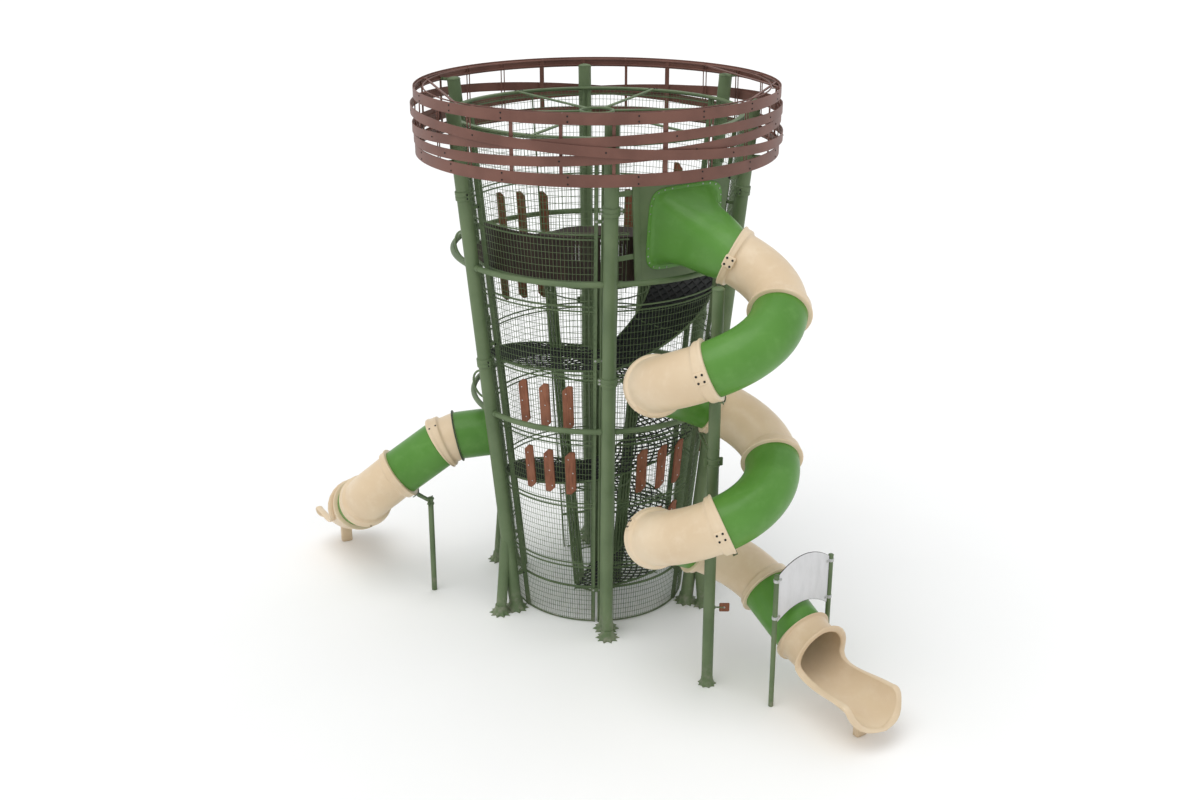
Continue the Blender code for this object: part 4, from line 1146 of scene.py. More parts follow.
# Roof, platform and cage

def roof():
    """Flat rim on the bays, six bars and the small hub ring."""
    piece = Piece("roof_bars", STEEL)
    low = SKIN_TOP + 0.003
    rings = []
    for k in range(144):
        angle = 2.0 * math.pi * k / 144.0
        rings.append([ring_point(radius, angle, z) for radius, z in (
            (2.160, low), (2.235, low), (2.238, low + 0.004), (2.238, low + 0.026),
            (2.235, low + 0.030), (2.160, low + 0.030), (2.157, low + 0.026),
            (2.157, low + 0.004))])
    piece.loft(rings, wrap=True)
    piece.hoop(0.25, low + 0.015, 0.021, 36, 12)
    for k in range(6):
        angle = FRONT + SIXTH / 2.0 + k * SIXTH + 0.02
        piece.beam(ring_point(0.255, angle, low + 0.015),
                   ring_point(2.17, angle - 0.004, low + 0.015), 0.055, 0.026, UP, 0.008)
    piece.bolts([(ring_point(2.197, FRONT + SIXTH / 2.0 + k * SIXTH + shift, low + 0.030), UP)
                 for k in range(6) for shift in (-0.02, 0.0, 0.04)], 0.009)
    return piece.finish("roof_frame")


def deck_reach():
    """Radius of the platform's edge, up to the foot of the entrance panel."""
    corner = Vector((-0.006, 0.0, 5.80 - PANEL_MIDDLE))
    return (panel_place(PANEL_MIDDLE) @ corner).xy.length - 0.0004


def deck_edge(angle):
    """Radius of the platform's edge at an angle in degrees, set back at the rear."""
    if DECK_REAR[0][0] <= angle <= DECK_REAR[-1][0]:
        return min(deck_reach(), table_value(DECK_REAR, angle))
    return deck_reach()


def deck():
    """Platform sheet with a folded rim, bearers below and a ring at its hole."""
    piece = Piece("platform", TREAD)
    start = math.radians(DECK_START)
    sweep = math.radians(DECK_SWEEP)
    rings = []
    steps = 156
    for k in range(steps + 1):
        angle = start + sweep * k / steps
        reach = deck_edge(math.degrees(angle))
        rings.append([ring_point(radius, angle, z) for radius, z in (
            (0.81, DECK_TOP - 0.012), (reach - 0.014, DECK_TOP - 0.012), (reach - 0.014, DECK_TOP),
            (0.81, DECK_TOP))])
    piece.loft(rings)
    piece.paint(STEEL)
    rings = []
    for k in range(steps + 1):
        angle = start + sweep * k / steps
        reach = deck_edge(math.degrees(angle))
        rings.append([ring_point(radius, angle, z) for radius, z in (
            (reach - 0.010, DECK_TOP - 0.05), (reach, DECK_TOP - 0.046), (reach, DECK_TOP - 0.003),
            (reach - 0.003, DECK_TOP), (reach - 0.014, DECK_TOP))])
    piece.loft(rings)
    piece.rod(arc(0.835, start, start + sweep, DECK_TOP - 0.030, 72), 0.018, 10)
    bearers = [(start + 0.02, 0.020, 0.032), (start + sweep - 0.02, 0.020, 0.032)]
    bearers += [(start + sweep * (k + 0.5) / 11.0, 0.012, 0.031) for k in range(11)]
    for angle, short, below in bearers:
        reach = deck_edge(math.degrees(angle)) - short
        piece.beam(ring_point(0.84, angle, DECK_TOP - below),
                   ring_point(reach, angle, DECK_TOP - below), 0.040, 0.036, UP)
    return piece.finish("deck")


def guard():
    """Dark slats side by side between two rails."""
    piece = Piece("guard_slats", SLAT_BROWN)
    reach = deck_reach() - 0.030
    start = math.radians(GUARD_START)
    end = start + math.radians(GUARD_SWEEP)
    line = arc(reach, start, end, DECK_TOP + 0.004 + GUARD_HEIGHT / 2.0, 120)
    edges = [(k, k + 1) for k in range(120)]
    piece.take(grow(SLATS, line, edges, Pitch=0.0512, Width=0.0470, Thickness=0.018,
                    Height=GUARD_HEIGHT - 0.010, Material=SLAT_BROWN))
    piece.paint(STEEL)
    for level in (DECK_TOP + 0.10, DECK_TOP + GUARD_HEIGHT - 0.09):
        rings = []
        for k in range(121):
            angle = start + (end - start) * k / 120.0
            rings.append([ring_point(radius, angle, level + z) for radius, z in (
                (reach - 0.013, -0.02), (reach - 0.0095, -0.02), (reach - 0.0095, 0.02),
                (reach - 0.013, 0.02))])
        piece.loft(rings)
    return piece.finish("slat_guard")


def cage():
    """Tapered inner cage: four legs, each a bundle of bars, held by hoops."""
    piece = Piece("core_bars", STEEL)
    top = DECK_TOP - 0.055
    bars = []
    rungs = []
    for k in range(4):
        angle = FRONT + k * math.pi / 2.0

        def corner(across, depth, z):
            radius = core_radius(z) - depth
            return ring_point(radius, angle + across / radius, z)

        for across, depth in CORE_BARS:
            bars.append([corner(across, depth, z) for z in (0.0, top / 2.0, top)])
        for z in (0.45, 1.35, 2.42, 3.30, 4.40, 5.30):
            rungs.append([corner(across, depth, z) for across, depth in (
                (-0.075, 0.0), (0.075, 0.0), (0.075, 0.13), (-0.075, 0.13), (-0.075, 0.0))])
    piece.threads(bars, 0.0205, 8)
    piece.threads(rungs, 0.009, 6)
    for level in (0.020, 0.45, 1.93, 3.86, 5.22, 5.40, top - 0.018):
        piece.hoop(core_radius(level), level, 0.0145 if level in (0.020, 1.93, 3.86) else 0.012,
                   48, 8)
    return piece.finish("core_cage")


def ramp():
    """Climbing net on a spiral of green tubes round the cage."""
    start = RAMP[0][0]
    end = RAMP[-1][0]
    columns = 120
    rows = 7

    def spot(column, share):
        angle = start + (end - start) * column / columns
        z = table_value(RAMP, angle)
        inner = core_radius(z + 0.03) + 0.030
        outer = skin_radius(z) - 0.095
        sag = 0.028 * math.sin(math.pi * share)
        return ring_point(inner + (outer - inner) * share, math.radians(angle), z + 0.016 - sag)

    piece = Piece("net_and_rails", STEEL)
    for share in (0.0, 1.0):
        piece.rod([spot(column, share) for column in range(columns + 1)], 0.016, 8)
    ties = []
    for step in range(0, columns + 1, 10):
        ties.append([spot(step, share / 4.0) - UP * 0.004 for share in range(5)])
    piece.threads(ties, 0.011, 8)
    hangers = []
    for step in range(0, columns + 1, 4):
        angle = start + (end - start) * step / columns
        outer = spot(step, 1.0)
        hangers.append([outer, ring_point(skin_radius(outer.z) - 0.012, math.radians(angle),
                                          outer.z)])
    piece.threads(hangers, 0.008, 6)
    ropes = []
    for first in range(-rows, columns):
        for lean in (1, -1):
            line = []
            for row in range(rows + 1):
                column = first + (row if lean > 0 else rows - row)
                if 0 <= column <= columns:
                    line.append(spot(column, row / rows))
            if len(line) > 1:
                ropes.append(line)
    piece.threads(ropes, 0.0140, 5, ROPE)
    knots = [spot(column, row / rows) for column in range(columns + 1) for row in range(1, rows)]
    piece.paint(ROPE)
    piece.take(grow(KNOTS, knots, Radius=0.0220, Material=ROPE))
    for first, last in CLOSE_WEAVE:
        rings = []
        for column in range(round((first - start) * columns / (end - start)),
                            round((last - start) * columns / (end - start)) + 1):
            edge = [spot(column, row / rows) - UP * 0.018 for row in range(rows + 1)]
            rings.append(edge + [point - UP * 0.005 for point in edge[::-1]])
        piece.loft(rings)
    return piece.finish("net_ramp_lower", "net_ramp_upper")


# Slides

class Route:
    """Way down a slide, with the distance of each joint along it."""

    def __init__(self, start, heading):
        self.points = [Vector(start)]
        self.heading = heading
        self.marks = [0]

    def bend(self, radius, turn, drop):
        turn = math.radians(turn)
        count = max(3, round(abs(turn) / math.radians(5.0)))
        part = turn / count
        chord = 2.0 * radius * math.sin(abs(part) / 2.0)
        for _ in range(count):
            aim = self.heading + part / 2.0
            self.points.append(self.points[-1] + Vector((chord * math.cos(aim),
                                                         chord * math.sin(aim), -drop / count)))
            self.heading += part
        self.marks.append(len(self.points) - 1)

    def straight(self, length, drop, joint=True):
        for _ in range(4):
            self.points.append(self.points[-1] + Vector((length / 4.0 * math.cos(self.heading),
                                                         length / 4.0 * math.sin(self.heading),
                                                         -drop / 4.0)))
        if joint:
            self.marks.append(len(self.points) - 1)

    def runout(self, length, drop):
        start = self.points[-1]
        for k in range(1, 33):
            share = k / 32.0
            self.points.append(start + Vector((share * length * math.cos(self.heading),
                                               share * length * math.sin(self.heading),
                                               -drop * (1.0 - (1.0 - share) ** 2))))
        self.marks.append(len(self.points) - 1)

    def measure(self):
        """Distances and smoothed directions of all points."""
        self.distance = [0.0]
        for near, far in zip(self.points, self.points[1:]):
            self.distance.append(self.distance[-1] + (far - near).length)
        last = len(self.points) - 1
        self.aims = [(self.points[min(k + 1, last)] - self.points[max(k - 1, 0)]).normalized()
                     for k in range(last + 1)]
        return self

    def at(self, distance):
        """Point and direction at a distance from the start."""
        index = 0
        while index < len(self.distance) - 2 and self.distance[index + 1] < distance:
            index += 1
        span = self.distance[index + 1] - self.distance[index]
        share = (distance - self.distance[index]) / span
        return (self.points[index].lerp(self.points[index + 1], share),
                self.aims[index].lerp(self.aims[index + 1], share).normalized())

    def joint(self, number):
        return self.distance[self.marks[number]]


def around(centre, aim, radius, sides=48):
    """Ring of points square to a slide."""
    side, up = side_and_up(aim)
    return [centre + radius * (math.cos(2.0 * math.pi * k / sides) * side
                               + math.sin(2.0 * math.pi * k / sides) * up)
            for k in range(sides)]


def on_shell(route, distance, radius, degrees):
    """Point on the side of a slide and its outward direction."""
    centre, aim = route.at(distance)
    side, up = side_and_up(aim)
    turn = math.radians(degrees)
    normal = math.cos(turn) * side + math.sin(turn) * up
    return centre + radius * normal, normal


def clamp(piece, route, distance, degrees, way):
    """Moulded pad across a collar with four bolts."""
    distance += way * 0.075
    centre, aim = route.at(distance)
    normal = on_shell(route, distance, 1.0, degrees)[1]
    round_way = aim.cross(normal)
    rings = []
    for depth, fit in ((0.385, 1.0), (0.441, 1.0), (0.4475, 0.93), (0.449, 0.84)):
        ring = []
        for x, y in rounded(0.155 * fit, 0.175 * fit, 0.022 * fit, 4):
            lift = math.sqrt(max(0.01, depth ** 2 - y ** 2))
            ring.append(centre + aim * x + round_way * y + normal * lift)
        rings.append(ring)
    piece.loft(rings)
    heads = []
    for x in (-0.042, 0.042):
        for y in (-0.048, 0.048):
            heads.append((centre + aim * x + round_way * y
                          + normal * math.sqrt(0.448 ** 2 - y ** 2), normal))
    piece.bolts(heads, 0.010)


def tube_piece(name, route, number, beads, material, clamps=(), pairs=(), gasket=False):
    """Moulded tube between two joints; beads are the ends with collars, clamps
    and pairs what is bolted to them."""
    first = route.joint(number) + JOINT_GAP
    length = route.joint(number + 1) - JOINT_GAP - first
    stations = {0.0, length}
    edge = [away for away, _ in LIP]
    if 0 in beads:
        stations.update(edge)
    if 1 in beads:
        stations.update(length - away for away in edge)
    count = max(2, round(length / 0.07))
    inner_edge = LIP[-1][0] + 0.02
    for k in range(1, count):
        away = length * k / count
        if (0 not in beads or away > inner_edge) and (1 not in beads
                                                      or length - away > inner_edge):
            stations.add(away)
    outer = []
    for away in sorted(stations):
        radius = TUBE
        if 0 in beads and away < LIP[-1][0]:
            radius = max(radius, table_value(LIP, away))
        if 1 in beads and length - away < LIP[-1][0]:
            radius = max(radius, table_value(LIP, length - away))
        outer.append(around(*route.at(first + away), radius))
    inner = [around(*route.at(first + length * k / count), TUBE - WALL)
             for k in range(count, -1, -1)]
    piece = Piece(name + "_shell", material)
    piece.loft(outer + inner, wrap=True)
    for distance, degrees, way in clamps:
        clamp(piece, route, distance, degrees, way)
    heads = [on_shell(route, route.joint(joint) + way * away, table_value(LIP, away), degrees)
             for joint, way, *spots in pairs if joint == number + (0 if way > 0 else 1)
             for away, degrees in spots]
    if heads:
        piece.bolts(heads, 0.009)
    if gasket:
        centre, aim = route.at(first)
        piece.paint(WIRE_STEEL)
        piece.turned(axes(centre, aim), ((0.386, 0.002), (0.420, 0.002), (0.424, 0.006),
                                         (0.424, 0.018), (0.420, 0.022), (0.386, 0.022)), 48,
                     wrap=True)
    return piece.finish(name, angle=50.0)


def trough_row(centre, aim, radius, share, lip, count=41):
    """U section between two lips, wider towards the end. lip is in degrees above level."""
    side, up = side_and_up(aim)
    sweep = math.radians(180.0 + 2.0 * lip)
    row = []
    for k in range(count):
        angle = -math.pi / 2.0 + sweep * (k / (count - 1.0) - 0.5)
        row.append(centre + radius * ((1.0 + 0.14 * share) * math.cos(angle) * side
                                      + math.sin(angle) * up))
    return row


def lip_angle(away, span):
    """Degrees above level of the trough's lips at a distance from its joint,
    on a smooth line through the stated ones."""
    table = EXIT_LIPS + tuple((span - left, lip) for left, lip in EXIT_END_LIPS)
    last = len(table) - 1
    slopes = []
    for k in range(last + 1):
        (s0, a0), (s1, a1) = table[max(k - 1, 0)], table[min(k + 1, last)]
        slopes.append((a1 - a0) / (s1 - s0))
    for k, ((s0, a0), (s1, a1)) in enumerate(zip(table, table[1:])):
        if away <= s1:
            part = (away - s0) / (s1 - s0)
            rest = 1.0 - part
            return (a0 * (1.0 + 2.0 * part) * rest ** 2 + a1 * (3.0 - 2.0 * part) * part ** 2
                    + (s1 - s0) * part * rest * (slopes[k] * rest - slopes[k + 1] * part))
    return table[last][1]


def rim(piece, loop):
    """Soft flange along a closed loop of (point, outward direction) pairs."""
    rings = []
    for index, (spot, out) in enumerate(loop):
        along = loop[(index + 1) % len(loop)][0] - loop[index - 1][0]
        along = (along - out * along.dot(out)).normalized()
        face = out.cross(along)
        rings.append([spot + out * (0.044 + 0.053 * math.cos(turn)) + face * 0.0215 * math.sin(turn)
                      for turn in (2.0 * math.pi * k / 14.0 for k in range(14))])
    piece.loft(rings, wrap=True)


def exit_piece(name, route, number, material, block):
    """Run-out of a slide: beaded neck, then a trough whose whole edge turns
    out into a broad soft flange. block is its foot's distance from the end."""
    first = route.joint(number) + JOINT_GAP
    span = route.joint(number + 1) - first
    piece = Piece(name + "_shell", material)
    start = EXIT_LIPS[0][0]
    neck = [(away, radius) for away, radius in EXIT_NECK if away <= start]
    skin = [around(*route.at(first + away), radius, 80) for away, radius in neck]
    bore = [around(*route.at(first + away), TUBE - WALL, 80) for away in (start, 0.15, 0.0)]
    piece.loft(skin + bore, wrap=True)
    stations = [start, 0.402, 0.405, 0.409, 0.413, 0.418, 0.424, 0.431, 0.440, 0.455, 0.480,
                0.520, 0.580]
    bend = 0.42
    stations += [0.58 + (span - bend - 0.58) * k / 16.0 for k in range(1, 17)]
    stations += [span - bend + bend * (1.0 - (1.0 - k / 18.0) ** 1.6) for k in range(1, 19)]
    outer = []
    inner = []
    left = []
    right = []
    for away in stations:
        centre, aim = route.at(first + min(away, span - 0.0001))
        share = (away - start) / (span - start)
        lip = lip_angle(away, span)
        outer.append(trough_row(centre, aim, TUBE + 0.003, share, lip))
        inner.append(trough_row(centre, aim, TUBE - WALL, share, lip))
        side, up = side_and_up(aim)
        ahead = min(1.0, max(0.0, (-lip - 23.0) / 59.0)) ** 0.8
        for way, edge, corner in ((-1.0, left, 0), (1.0, right, -1)):
            spot = (outer[-1][corner] + inner[-1][corner]) / 2.0
            turn = math.radians(lip)
            out = math.cos(turn) * way * side + math.sin(turn) * up
            out = (out * (1.0 - ahead) + (aim * 0.95 + UP * 0.10) * ahead).normalized()
            edge.append((spot, out))
    piece.loft([low + high[::-1] for low, high in zip(outer, inner)])
    rim(piece, left + right[-2:0:-1])
    centre, aim = route.at(first + span - block)
    level = Vector((aim.x, aim.y, 0.0)).normalized()
    base = centre.z - TUBE
    spot = Vector((centre.x, centre.y, base / 2.0 + 0.002))
    piece.slab(axes(spot, UP, level), 0.190, 0.120, base + 0.004, 0.030, 0.010)
    return piece.finish(name, angle=50.0)


def collar_arm(piece, foot, tube, centre, aim):
    """Saddle under a collar on a raking arm, with a band and two bolted ears at
    the post. Gives back its bolt heads."""
    side, up = side_and_up(aim)
    rings = []
    for degrees in range(-30, 31, 5):
        turn = math.radians(degrees)
        spot = centre + 0.4545 * (math.sin(turn) * side - math.cos(turn) * up)
        normal = (centre - spot).normalized()
        rings.append([spot + aim * x - normal * y for x, y in
                      ((-0.035, -0.001), (0.035, -0.001), (0.035, 0.008), (-0.035, 0.008))])
    piece.loft(rings)
    seat = centre - up * 0.462
    start = Vector((foot.x, foot.y, seat.z - 0.12))
    piece.rod([start, start.lerp(seat, 0.5), seat], 0.025, 14)
    for rise in (-0.045, 0.045):
        piece.turned(axes(start + UP * rise, UP), (
            (tube - 0.002, -0.014), (tube + 0.010, -0.013), (tube + 0.013, -0.008),
            (tube + 0.013, 0.008), (tube + 0.010, 0.013), (tube - 0.002, 0.014)))
    run = seat - start
    run.z = 0.0
    run.normalize()
    heads = []
    for way in (-1.0, 1.0):
        ear = start + UP.cross(run) * way * (tube + 0.026)
        piece.slab(axes(ear, run, UP), 0.055, 0.130, 0.014, 0.014)
        heads.append((ear + run * 0.007, run))
    piece.beam(start, seat - UP * 0.02, 0.012, 0.075, UP)
    return heads


def slide_post(name, foot, height, tube, route, numbers):
    """Round post with a cap and an arm under each collar. The tall one has a
    leaf foot, seams and a small plate too."""
    tall_one = height > 3.0
    piece = Piece(name + "_tube", STEEL)
    top = foot + UP * (height - 0.03)
    piece.rod([foot, foot.lerp(top, 0.5), top], tube, 32)
    piece.turned(axes(top, UP), ((tube, 0.0), (tube + 0.004, 0.002), (tube + 0.004, 0.012),
                                 (tube * 0.93, 0.024), (tube * 0.66, 0.034), (tube * 0.3, 0.039),
                                 (0.004, 0.040)))
    if tall_one:
        leaf_foot(piece, foot, tube, 9, 0.055, 0.12)
    heads = []
    for number in numbers:
        centre, aim = route.at(route.joint(number))
        heads += collar_arm(piece, foot, tube, centre + aim * 0.030, aim)
    for share in (0.38, 0.62) if tall_one else ():
        piece.turned(axes(foot + UP * height * share, UP),
                     ((tube - 0.001, -0.006), (tube + 0.0035, -0.003), (tube + 0.0035, 0.003),
                      (tube - 0.001, 0.006)))
    piece.bolts(heads, 0.011)
    if tall_one:
        post_plate(piece, foot + UP * 1.285)
        return piece.finish(name, "wing_plate")
    return piece.finish(name)


def entrance_panel():
    """Flat plate between two posts with the mouth of the tall slide."""
    place = panel_place(PANEL_MIDDLE)
    normal = place.to_3x3() @ Vector((1.0, 0.0, 0.0))
    piece = Piece("entrance_plate", STEEL)
    steps = 16

    def outline(kind, depth):
        ring = []
        for k in range(4 * steps):
            turn = 2.0 * math.pi * (k + 0.5) / (4 * steps)
            x, z = soft_square(turn, kind)
            if kind < 0.2:
                half = (0.775 if x < 0.0 else 0.865) + 0.085 * z - 0.004
                ring.append(place @ Vector((depth, x * half, z * 0.788)))
            else:
                ring.append(place @ Vector((depth, MOUTH_SHIFT + x * 0.455, z * 0.475 - 0.06)))
        return ring

    piece.loft([outline(0.10, 0.006), outline(0.10, -0.006), outline(0.25, -0.006),
                outline(0.25, 0.006)], wrap=True)
    edge = [place @ Vector((0.014, 0.056 - 0.775 - 0.085 * z, 0.780 * z)) for z in (-1.0, 1.0)]
    piece.beam(*edge, 0.104, 0.020, normal, 0.004)
    heads = []
    for level in LUG_LEVELS:
        for side in (-1.0, 1.0):
            half = panel_reach(side, level) - 0.025
            spot = panel_place(level) @ Vector((0.0062, side * half, 0.0))
            heads.append((spot, normal))
    piece.bolts(heads, 0.012)
    return piece.finish("entrance_panel")


def hood(route):
    """Moulded funnel from the panel's mouth to the first tube, with a bolted
    flange round its foot."""
    place = panel_place(PANEL_MIDDLE)
    end, aim = route.at(0.0)
    end = end - aim * JOINT_GAP
    sides = 64
    face = 0.0064

    def mouth(inset, lift):
        ring = []
        for k in range(sides):
            across, rise = soft_square(2.0 * math.pi * k / sides, 0.36)
            ring.append(place @ Vector((face + lift, MOUTH_SHIFT - across * (0.66 - inset),
                                        0.005 + rise * (0.615 - inset))))
        return ring

    piece = Piece("entrance_funnel", GREEN_SHELL)
    outer_end = around(end, aim, TUBE, sides)
    inner_end = around(end, aim, TUBE - WALL, sides)
    foot = mouth(0.052, 0.016)
    rows = [mouth(0.0, 0.0), mouth(0.0, 0.010), mouth(0.003, 0.014), mouth(0.046, 0.0155), foot]
    inner_foot = mouth(0.075, 0.0)
    middle = sum(foot, Vector()) / sides

    def throat(share, waist, near_ring, far_ring):
        """Ring part of the way from the mouth to the tube, drawn in at the waist."""
        pull = waist * math.sin(math.pi * share ** 0.75)
        back = (middle - end) * (1.0 - share)
        return [near.lerp(far, share).lerp(far + back, pull)
                for near, far in zip(near_ring, far_ring)]

    for share in (0.03, 0.07, 0.12, 0.20, 0.30, 0.40, 0.50, 0.60, 0.70, 0.80, 0.88, 0.94, 0.98):
        rows.append(throat(share, 0.40, foot, outer_end))
    rows += [outer_end, inner_end]
    for share in (0.8, 0.6, 0.4, 0.2):
        rows.append(throat(share, 0.42, inner_foot, inner_end))
    rows.append(inner_foot)
    piece.loft(rows, wrap=True)
    bolt_line = mouth(0.025, 0.0155)
    normal = place.to_3x3() @ Vector((1.0, 0.0, 0.0))
    heads = []
    travelled = 0.0
    for near, far in zip(bolt_line, bolt_line[1:] + bolt_line[:1]):
        step = (far - near).length
        travelled += step
        if travelled >= 0.095:
            heads.append((far, normal))
            travelled = 0.0
    piece.bolts(heads, 0.007, BRIGHT_BOLT)
    return piece.finish("entrance_hood", angle=55.0)


def gate():
    """Plate on the hoops of the left bay with the low slide's gasket."""
    place = gate_place(GATE_MIDDLE, 0.0064) @ Matrix.Rotation(math.pi / 2.0, 4, "Y")
    piece = Piece("low_gate_plate", STEEL)
    sides = 48
    shift = LOW_TOP - GATE_MIDDLE

    def square(depth, fit):
        ring = []
        for k in range(sides):
            x, y = soft_square(2.0 * math.pi * (k + 0.5) / sides, 0.12)
            ring.append(place @ Vector((x * 0.570 * fit, y * 0.525 * fit, depth)))
        return ring

    def hole(depth, radius):
        return [place @ Vector((radius * math.cos(2.0 * math.pi * (k + 0.5) / sides) - shift,
                                radius * math.sin(2.0 * math.pi * (k + 0.5) / sides), depth))
                for k in range(sides)]

    piece.loft([square(0.006, 0.996), square(0.004, 1.0), square(-0.004, 1.0),
                square(-0.006, 0.996), hole(-0.006, 0.375), hole(0.006, 0.375)], wrap=True)
    piece.paint(RUBBER)
    piece.loft([hole(0.0065, 0.386), hole(0.0065, 0.440), hole(0.016, 0.436), hole(0.020, 0.412),
                hole(0.020, 0.386)], wrap=True)
    heads = []
    normal = place.to_3x3() @ UP
    for x in (-0.53, 0.0, 0.53):
        for y in (-0.48, 0.48):
            heads.append((place @ Vector((x, y, 0.006)), normal))
    for k in range(12):
        turn = 2.0 * math.pi * k / 12.0
        heads.append((place @ Vector((0.418 * math.cos(turn) - shift, 0.418 * math.sin(turn),
                                      0.017)), normal))
    piece.bolts(heads, 0.010)
    return piece.finish("low_slide_gate")


# Sign and small plate

def sign():
    """Two thin posts with clamps and the bare arched plate between them."""
    near, far = SIGN_FEET
    run = far - near
    along = run.normalized()
    front = along.cross(UP)
    for name, foot, way in (("sign_post_near", near, 1.0), ("sign_post_far", far, -1.0)):
        piece = Piece(name + "_tube", STEEL)
        top = foot + UP * SIGN_POST
        piece.rod([foot, foot.lerp(top, 0.5), top], SIGN_TUBE, 24)
        piece.turned(axes(top, UP), ((0.037, 0.0), (0.040, 0.001), (0.040, 0.009), (0.034, 0.014),
                                     (0.020, 0.018), (0.004, 0.019)), 24)
        heads = []
        piece.paint(PALE_METAL)
        for level in (1.45, 2.04):
            spot = foot + UP * level
            piece.turned(axes(spot, UP), ((0.0365, -0.024), (0.044, -0.023), (0.046, -0.018),
                                          (0.046, 0.018), (0.044, 0.023), (0.0365, 0.024)), 24)
            tongue = spot + along * way * 0.062
            for face in (front, -front):
                piece.slab(axes(tongue + face * 0.0105, front, UP), 0.062, 0.042, 0.006, 0.010,
                           0.002)
                heads.append((tongue + face * 0.0135 + along * way * 0.010, face))
        piece.bolts(heads, 0.007, BRIGHT_BOLT)
        piece.finish(name)
    piece = Piece("sign_board", LAMINATE)
    length = run.length
    inset = 0.0375

    def outline(depth, margin):
        low = []
        high = []
        for k in range(33):
            away = inset + margin + (length - 2.0 * (inset + margin)) * k / 32.0
            bow = SIGN_BOW * (1.0 - (2.0 * away / length - 1.0) ** 2)
            spot = near + along * away + front * depth
            low.append(Vector((spot.x, spot.y, SIGN_LOW + bow + margin)))
            high.append(Vector((spot.x, spot.y, SIGN_HIGH + bow - margin)))
        return low + high[::-1]

    piece.loft([outline(-0.005, 0.004), outline(0.005, 0.004)])
    piece.paint(RUBBER)
    piece.loft([outline(-0.0055, 0.0), outline(0.0055, 0.0), outline(0.0055, 0.0045),
                outline(-0.0055, 0.0045)], wrap=True)
    return piece.finish("sign_plate")


def post_plate(piece, spot):
    """Small rust-brown plate on an arm from the post of the tall slide."""
    run = Vector((1.0, 0.0, 0.0))
    piece.rod([spot + run * 0.083, spot + run * 0.224], 0.012, 12)
    piece.turned(axes(spot + run * 0.083, run), ((0.012, 0.0), (0.026, 0.001), (0.026, 0.009),
                                                 (0.012, 0.012)), 16)
    piece.paint(BOARD_BROWN)
    face = Vector((0.0, 1.0, 0.0))
    middle = spot + run * 0.224
    piece.slab(axes(middle, face, UP), 0.150, 0.140, 0.012, 0.014)
    piece.bolts([(middle - face * 0.006, -face)], 0.009, BRIGHT_BOLT)


for number in range(6):
    post_piece(number)
    bay_piece(number)
foot_rail()
for beam_name, beam_level in RINGS.items():
    ring_beam(beam_name, beam_level)
for number, (bay_index, *board_sizes) in enumerate(BOARD_ROWS, 1):
    board_group(bay_index, number, *board_sizes)
grab_loop(1, 6.20)
grab_loop(2, 3.98)
crown()
roof()
deck()
guard()
cage()
ramp()

# Routes of the slides: each bend or straight stretch is one moulding
tall = Route(TALL_POST + ring_point(COIL, TALL_START, TALL_TOP), TALL_START - math.pi / 2.0)
for _ in range(8):
    tall.bend(COIL, -86.3, 0.5586)
tall.bend(1.03, -70.0, 0.555)
tall.straight(0.78, 0.37)
tall.runout(1.70, 0.29)
tall.measure()
for number in range(10):
    sand = number % 2 == 0
    held = [(tall.joint(joint), degrees, way) for joint, degrees, way in CLAMPS
            if sand and joint == number + (0 if way > 0 else 1)]
    tube_piece("tall_slide_tube_%d" % (number + 1), tall, number, (0, 1) if sand else (),
               SAND_SHELL if sand else GREEN_SHELL, held, TALL_BOLTS)
# The exit shells take the darker sand copy, which is painted shade.
exit_piece("tall_slide_exit", tall, 10, SHADED_SAND, 0.40)
slide_post("tall_slide_post", TALL_POST, 6.15, 0.084, tall, (2, 4, 6))
entrance_panel()
hood(tall)

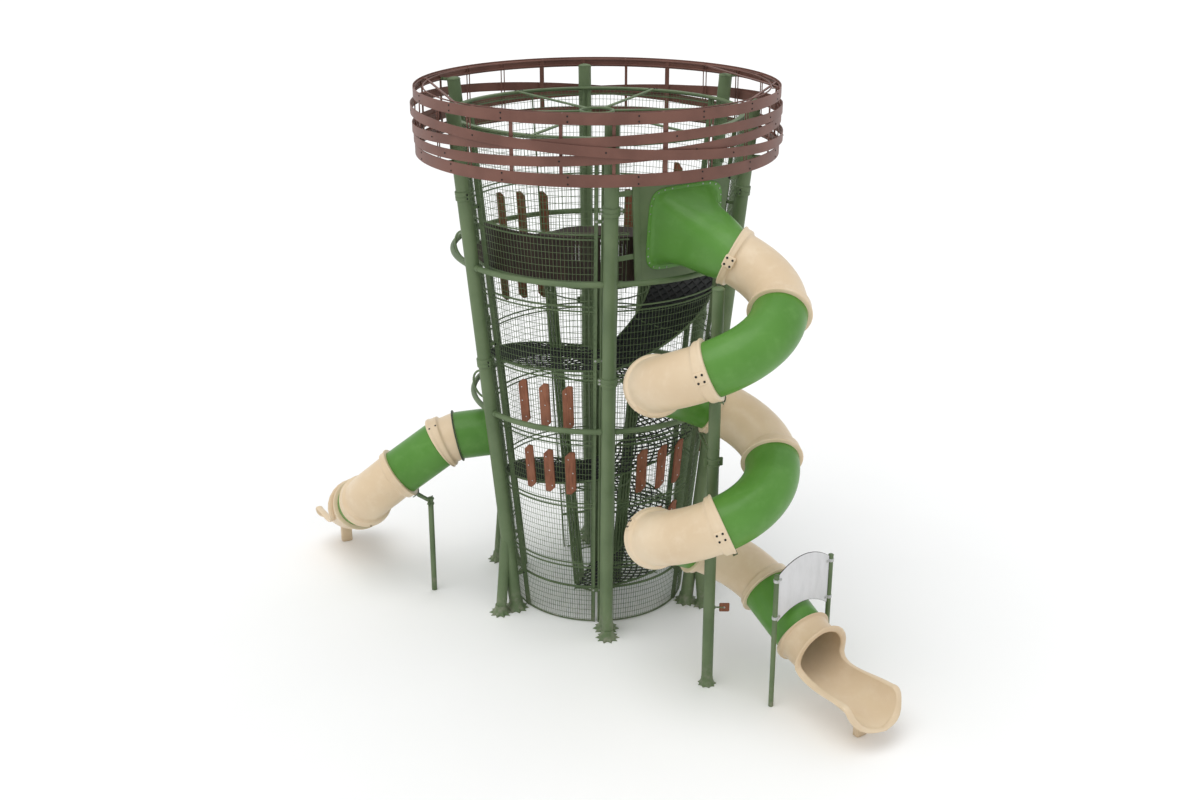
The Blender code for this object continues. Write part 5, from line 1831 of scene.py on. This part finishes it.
low = Route(gate_place(LOW_TOP, 0.0128).translation, LOW_ANGLE)
low.straight(0.55, 0.55 * LEAN)
low.straight(0.30, 0.13)
low.straight(0.655, 0.48)
low.straight(0.14, 0.10, joint=False)
low.bend(0.52, -72.0, 0.56)
low.straight(0.42, 0.22)
low.runout(1.45, 0.50)
low.measure()
for number, (shell, ends) in enumerate(((GREEN_SHELL, ()), (SAND_SHELL, (1,)), (GREEN_SHELL, ()),
                                        (SAND_SHELL, (0, 1)), (GREEN_SHELL, ()))):
    tube_piece("low_slide_tube_%d" % (number + 1), low, number, ends, shell, (), LOW_BOLTS,
               gasket=number == 1)
# The low exit also takes the darker sand copy, which is painted shade.
exit_piece("low_slide_exit", low, 5, SHADED_SAND, 0.20)
slide_post("low_slide_post", LOW_POST, 1.70, 0.045, low, (3,))
gate()
sign()

# Floor, camera and light
floor_mesh = bpy.data.meshes.new("pale_ground")
floor_mesh.from_pydata([(300.0 * x, 300.0 * y, -0.002)
                        for x, y in ((-1, -1), (1, -1), (1, 1), (-1, 1))], [], [(0, 1, 2, 3)])
floor_mesh.materials.append(floor_finish())
floor = bpy.data.objects.new("pale_ground", floor_mesh)
bpy.context.scene.collection.objects.link(floor)

view = bpy.data.cameras.new("photo_view")
view.lens = 43.98
view.sensor_width = 36.0
view.clip_end = 500.0
camera = bpy.data.objects.new("photo_view", view)
camera.location = TOWER + Vector((0.044, -22.23, 11.76))
camera.rotation_euler = (math.radians(69.15), 0.0, 0.0)
bpy.context.scene.collection.objects.link(camera)
bpy.context.scene.camera = camera

sky = bpy.data.worlds.new("soft_sky")
sky.use_nodes = True
backdrop = sky.node_tree.nodes["Background"]
backdrop.inputs["Color"].default_value = (0.97, 0.985, 1.0, 1.0)
backdrop.inputs["Strength"].default_value = 0.86
bpy.context.scene.world = sky
lamp = bpy.data.lights.new("soft_sun", "SUN")
lamp.energy = 1.0
lamp.angle = math.radians(50.0)
lamp.color = (1.0, 0.985, 0.96)
sun = bpy.data.objects.new("soft_sun", lamp)
sun.rotation_euler = (math.radians(20.0), math.radians(-6.0), math.radians(-35.0))
bpy.context.scene.collection.objects.link(sun)
bpy.context.scene.view_settings.view_transform = "Standard"
bpy.context.scene.view_settings.look = "None"
